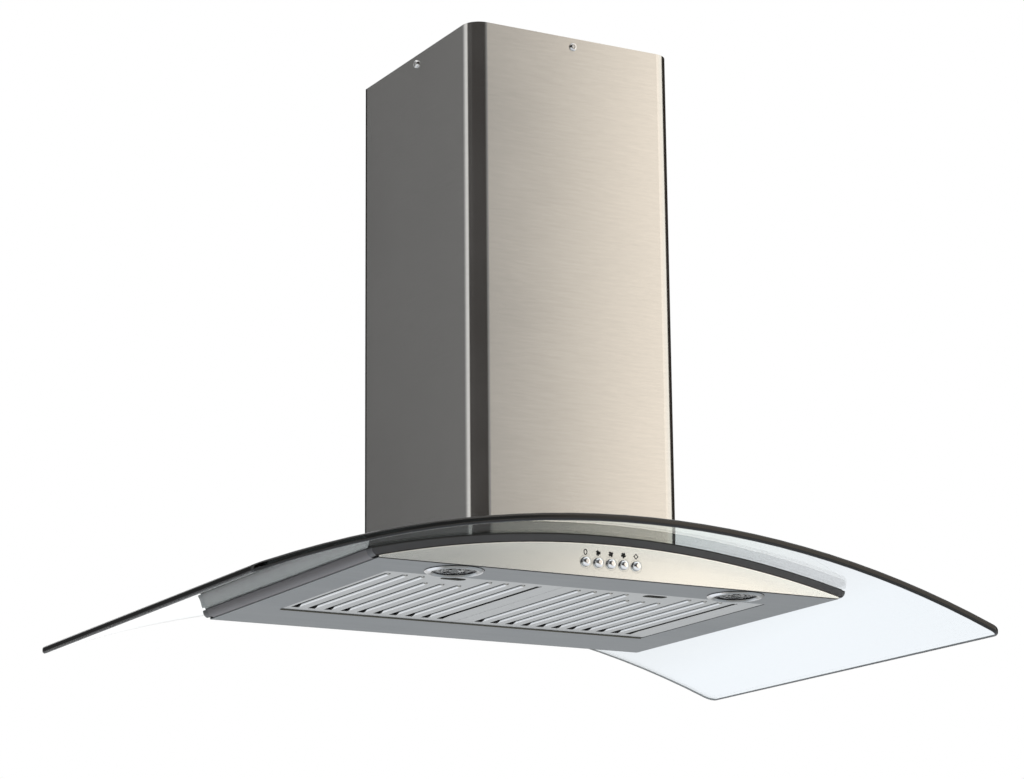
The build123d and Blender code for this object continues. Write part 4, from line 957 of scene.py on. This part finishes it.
class HOOD_OT_inside(bpy.types.Operator):
    """Finish the blower, ducting, motor, switches and wiring boxes"""

    bl_idname = "hood.inside"
    bl_label = "Blower and fittings"

    def execute(self, context):
        zinc_sheet = spangled_material("galvanised_sheet", (0.66, 0.67, 0.68), 0.5)
        posts = [name for name in NODES if name.startswith("support_post_")]
        dress(
            zinc_sheet, "canopy_deck", "spacer_frame", "blower_box", "duct_collar", "ceiling_plate",
            "motor_bracket", "impeller", *posts,
        )
        for name, colour, roughness, further, nodes in INSIDE_FINISHES:
            dress(speckled_material(name, colour, roughness, **further), *nodes)
        return {"FINISHED"}


# The walls' light by turn from the back wall towards the right, in degrees: radiance
ROOM_TURNS = (
    (-180.0, (0.035, 0.03, 0.027)),
    (-77.0, (0.035, 0.03, 0.027)),
    (-72.0, (0.95, 0.95, 0.93)),
    (-52.0, (0.85, 0.85, 0.85)),
    (-38.0, (0.26, 0.26, 0.26)),
    (-29.0, (0.24, 0.24, 0.24)),
    (-26.0, (0.13, 0.13, 0.13)),
    (-16.0, (0.12, 0.12, 0.12)),
    (-8.0, (0.7, 0.7, 0.7)),
    (35.0, (0.7, 0.7, 0.7)),
    (39.0, (0.03, 0.025, 0.02)),
    (98.0, (0.03, 0.025, 0.02)),
    (103.0, (1.45, 1.4, 1.28)),
    (120.0, (1.35, 1.28, 1.16)),
    (147.8, (1.5, 1.35, 1.17)),
    (150.6, (0.31, 0.315, 0.31)),
    (163.0, (0.31, 0.31, 0.305)),
    (166.5, (0.035, 0.03, 0.027)),
    (180.0, (0.035, 0.03, 0.027)),
)

# The walls' light below the horizon, by the same turn, where a softer room is seen
LOWER_TURNS = (
    (-180.0, (0.62, 0.61, 0.59)),
    (-120.0, (0.85, 0.85, 0.84)),
    (-60.0, (0.5, 0.5, 0.5)),
    (-29.0, (0.6, 0.6, 0.6)),
    (29.0, (0.68, 0.69, 0.7)),
    (60.0, (0.5, 0.5, 0.5)),
    (100.0, (0.95, 0.93, 0.9)),
    (150.0, (0.95, 0.92, 0.87)),
    (180.0, (0.62, 0.61, 0.59)),
)

# The light below and above the walls, by height in degrees: radiance
ROOM_FALLS = (
    (-90.0, (0.84, 0.88, 0.93)),
    (-26.0, (0.84, 0.88, 0.93)),
    (-18.0, (0.66, 0.67, 0.68)),
    (-2.0, (0.66, 0.67, 0.68)),
    (4.0, (0.85, 0.85, 0.85)),
    (30.0, (1.0, 1.0, 1.0)),
    (90.0, (1.15, 1.15, 1.15)),
)

# Where the walls stand, by height, and where the higher ones in front start and are full, by the Y of
# a direction
WALL_HEIGHTS = ((-90.0, 0.0), (-26.0, 0.0), (-20.0, 1.0), (30.0, 1.0), (42.0, 0.0))
FRONT_WALL_HEIGHTS = ((-90.0, 0.0), (-26.0, 0.0), (-20.0, 1.0), (46.0, 1.0), (60.0, 0.0))
FRONT_SPAN = (0.05, -0.25)

# Where the walls' light changes from LOWER_TURNS to ROOM_TURNS, by height
HORIZON = ((-90.0, 0.0), (-11.0, 0.0), (-4.0, 1.0))

# The window behind the hood by turn and by height, and how much brighter it is than the wall under it
WINDOW_TURNS = ((-180.0, 0.0), (-16.0, 0.0), (-8.0, 1.0), (35.0, 1.0), (39.0, 0.0))
WINDOW_HEIGHTS = ((-90.0, 0.0), (-6.0, 0.0), (0.0, 1.0), (34.0, 1.0), (48.0, 0.0))
WINDOW_GAIN = 0.6

# The reach of turns and heights either way, and the radiance of a ramp's full colour
HALF_TURN = 180.0
ZENITH = 90.0
ROOM_PEAK = 2.0


def ramp_from(tree, place, value, stops, reach, peak=1.0):
    """Colour at a value from 0 to 1, by stops from -reach to reach with colours divided by peak."""
    ramp = add_node(tree, "ShaderNodeValToRGB", place)
    tree.links.new(value, ramp.inputs["Fac"])
    points = ramp.color_ramp.elements
    while len(points) < len(stops):
        points.new(0.5)
    # twice, so that the second pass finds the points in order
    for _ in range(2):
        for point, (at, colour) in zip(points, stops):
            point.position = (at + reach) / (2 * reach)
            point.color = (*(channel / peak for channel in colour), 1.0)
    return ramp.outputs["Color"]


def level_from(tree, place, value, stops, reach):
    """Level at a value from 0 to 1, by stops from -reach to reach."""
    return ramp_from(tree, place, value, [(at, (level,) * 3) for at, level in stops], reach)


def studio_world(strength):
    """White for the camera, and for reflections a room of soft panels, a pale floor and a bright top."""
    world = bpy.data.worlds.new("studio")
    world.use_nodes = True
    tree = world.node_tree
    tree.nodes.clear()
    x, y, z = object_axes(tree, "Generated", (-1500, 0))
    turn = maths(tree, (-1100, 200), "ARCTAN2", x, y)
    turn = mapped(tree, (-900, 200), turn, -math.pi, math.pi)
    rise = maths(tree, (-1100, -200), "ARCSINE", z)
    rise = mapped(tree, (-900, -200), rise, -math.pi / 2, math.pi / 2)
    walls = mixed(
        tree, (-350, 200),
        level_from(tree, (-650, 1400), rise, HORIZON, ZENITH),
        ramp_from(tree, (-650, 1100), turn, LOWER_TURNS, HALF_TURN, ROOM_PEAK),
        ramp_from(tree, (-650, 200), turn, ROOM_TURNS, HALF_TURN, ROOM_PEAK),
    )
    front_walls = maths(
        tree, (-350, -600), "MULTIPLY",
        level_from(tree, (-650, -800), rise, FRONT_WALL_HEIGHTS, ZENITH),
        mapped(tree, (-900, -600), y, *FRONT_SPAN),
    )
    all_walls = maths(
        tree, (-350, -300), "MAXIMUM",
        level_from(tree, (-650, -200), rise, WALL_HEIGHTS, ZENITH), front_walls,
    )
    falls = ramp_from(tree, (-650, -500), rise, ROOM_FALLS, ZENITH, ROOM_PEAK)
    window = maths(
        tree, (-350, 600), "MULTIPLY",
        level_from(tree, (-650, 500), turn, WINDOW_TURNS, HALF_TURN),
        level_from(tree, (-650, 800), rise, WINDOW_HEIGHTS, ZENITH),
    )
    lit = add_node(tree, "ShaderNodeVectorMath", (0, 600), operation="SCALE")
    feed(tree, lit.inputs[0], mixed(tree, (-200, 0), all_walls, falls, walls))
    feed(tree, lit.inputs["Scale"], maths(tree, (-200, 600), "MULTIPLY_ADD", window, WINDOW_GAIN, 1.0))
    room = put(add_node(tree, "ShaderNodeBackground", (200, 0)), Strength=ROOM_PEAK * strength)
    paper = put(add_node(tree, "ShaderNodeBackground", (200, -200)), Color=(1.0, 1.0, 1.0, 1.0))
    # the camera sees plain white, also straight through the glass, with no reflection on the way
    path = add_node(tree, "ShaderNodeLightPath", (-350, 400))
    straight = maths(tree, (-200, 500), "LESS_THAN", path.outputs["Glossy Depth"], 0.5)
    through = maths(tree, (0, 400), "MULTIPLY", straight, path.outputs["Is Transmission Ray"])
    seen = maths(tree, (200, 300), "MAXIMUM", path.outputs["Is Camera Ray"], through)
    choose = add_node(tree, "ShaderNodeMixShader", (400, 0))
    leave = add_node(tree, "ShaderNodeOutputWorld", (600, 0))
    link = tree.links.new
    link(lit.outputs[0], room.inputs["Color"])
    link(seen, choose.inputs["Fac"])
    link(room.outputs["Background"], choose.inputs[1])
    link(paper.outputs["Background"], choose.inputs[2])
    link(choose.outputs["Shader"], leave.inputs["Surface"])
    return world


# The camera solved from the photograph: angles in degrees, its sensor in millimetres
CAMERA_PLACE = (-1.6233, -2.8753, -1.1884)
CAMERA_TURN = 29.299
CAMERA_RISE = 13.793
CAMERA_ROLL = -0.571
SENSOR_WIDTH = 36.0
CLIP_END = 200.0


def camera_matrix(place, yaw, pitch, roll):
    """The camera's matrix: yaw from +Y towards +X, pitch upwards, roll anticlockwise, in degrees."""
    yaw, pitch, roll = (math.radians(angle) for angle in (yaw, pitch, roll))
    ahead = Vector((math.sin(yaw) * math.cos(pitch), math.cos(yaw) * math.cos(pitch), math.sin(pitch)))
    right = Vector((math.cos(yaw), -math.sin(yaw), 0.0))
    up = right.cross(ahead)
    turned_right = right * math.cos(roll) + up * math.sin(roll)
    turned_up = up * math.cos(roll) - right * math.sin(roll)
    turned = Matrix((turned_right, turned_up, -ahead)).transposed()
    return Matrix.Translation(Vector(place)) @ turned.to_4x4()


class HOOD_OT_stage(bpy.types.Operator):
    """Set the floor, light and camera"""

    bl_idname = "hood.stage"
    bl_label = "Stage"

    def execute(self, context):
        stage = context.scene.hood_stage
        scene = context.scene
        scene.view_settings.view_transform = "Standard"
        scene.view_settings.look = "None"
        scene.world = studio_world(stage.light_strength)
        bm = bmesh.new()
        bmesh.ops.create_circle(bm, cap_ends=True, segments=FLOOR_SIDES, radius=stage.floor_radius)
        bmesh.ops.translate(bm, verts=bm.verts, vec=(0.0, 0.0, -stage.floor_drop))
        mesh = bpy.data.meshes.new("floor")
        bm.to_mesh(mesh)
        bm.free()
        floor = bpy.data.objects.new("floor", mesh)
        mesh.materials.append(
            new_material("floor_paper", Base_Color=stage.floor_colour, Roughness=0.8)[0]
        )
        scene.collection.objects.link(floor)
        lens = bpy.data.cameras.new("camera")
        lens.lens = stage.lens
        lens.sensor_width = SENSOR_WIDTH
        lens.clip_end = CLIP_END
        camera = bpy.data.objects.new("camera", lens)
        camera.matrix_world = camera_matrix(CAMERA_PLACE, CAMERA_TURN, CAMERA_RISE, CAMERA_ROLL)
        scene.collection.objects.link(camera)
        scene.camera = camera
        return {"FINISHED"}


PIECE_OPERATORS = (
    HOOD_OT_chimney,
    HOOD_OT_body,
    HOOD_OT_glass,
    HOOD_OT_trims,
    HOOD_OT_filters,
    HOOD_OT_buttons,
    HOOD_OT_lamps,
    HOOD_OT_inside,
    HOOD_OT_stage,
)


class HOOD_PT_sidebar(bpy.types.Panel):
    """The hood's pieces and settings"""

    bl_idname = "HOOD_PT_sidebar"
    bl_label = "Curved Glass Range Hood"
    bl_space_type = "VIEW_3D"
    bl_region_type = "UI"
    bl_category = "Hood"

    def draw(self, context):
        for group in (context.scene.hood_finish, context.scene.hood_detail, context.scene.hood_stage):
            box = self.layout.box()
            for name in group.__annotations__:
                box.prop(group, name)
        for operator in PIECE_OPERATORS:
            self.layout.operator(operator.bl_idname)


SETTINGS = {
    "hood_finish": HoodFinishSettings,
    "hood_detail": HoodDetailSettings,
    "hood_stage": HoodStageSettings,
}
CLASSES = (*SETTINGS.values(), *PIECE_OPERATORS, HOOD_PT_sidebar)


def register():
    """Registers the classes and hangs the settings on the scene."""
    for item in CLASSES:
        bpy.utils.register_class(item)
    for name, item in SETTINGS.items():
        setattr(bpy.types.Scene, name, bpy.props.PointerProperty(type=item))


def unregister():
    """Takes the settings and the classes away again."""
    for name in SETTINGS:
        delattr(bpy.types.Scene, name)
    for item in reversed(CLASSES):
        bpy.utils.unregister_class(item)


def main():
    """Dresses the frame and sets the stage."""
    register()
    for operator in PIECE_OPERATORS:
        family, name = operator.bl_idname.split(".")
        getattr(getattr(bpy.ops, family), name)()


if __name__ == "__main__":
    main()
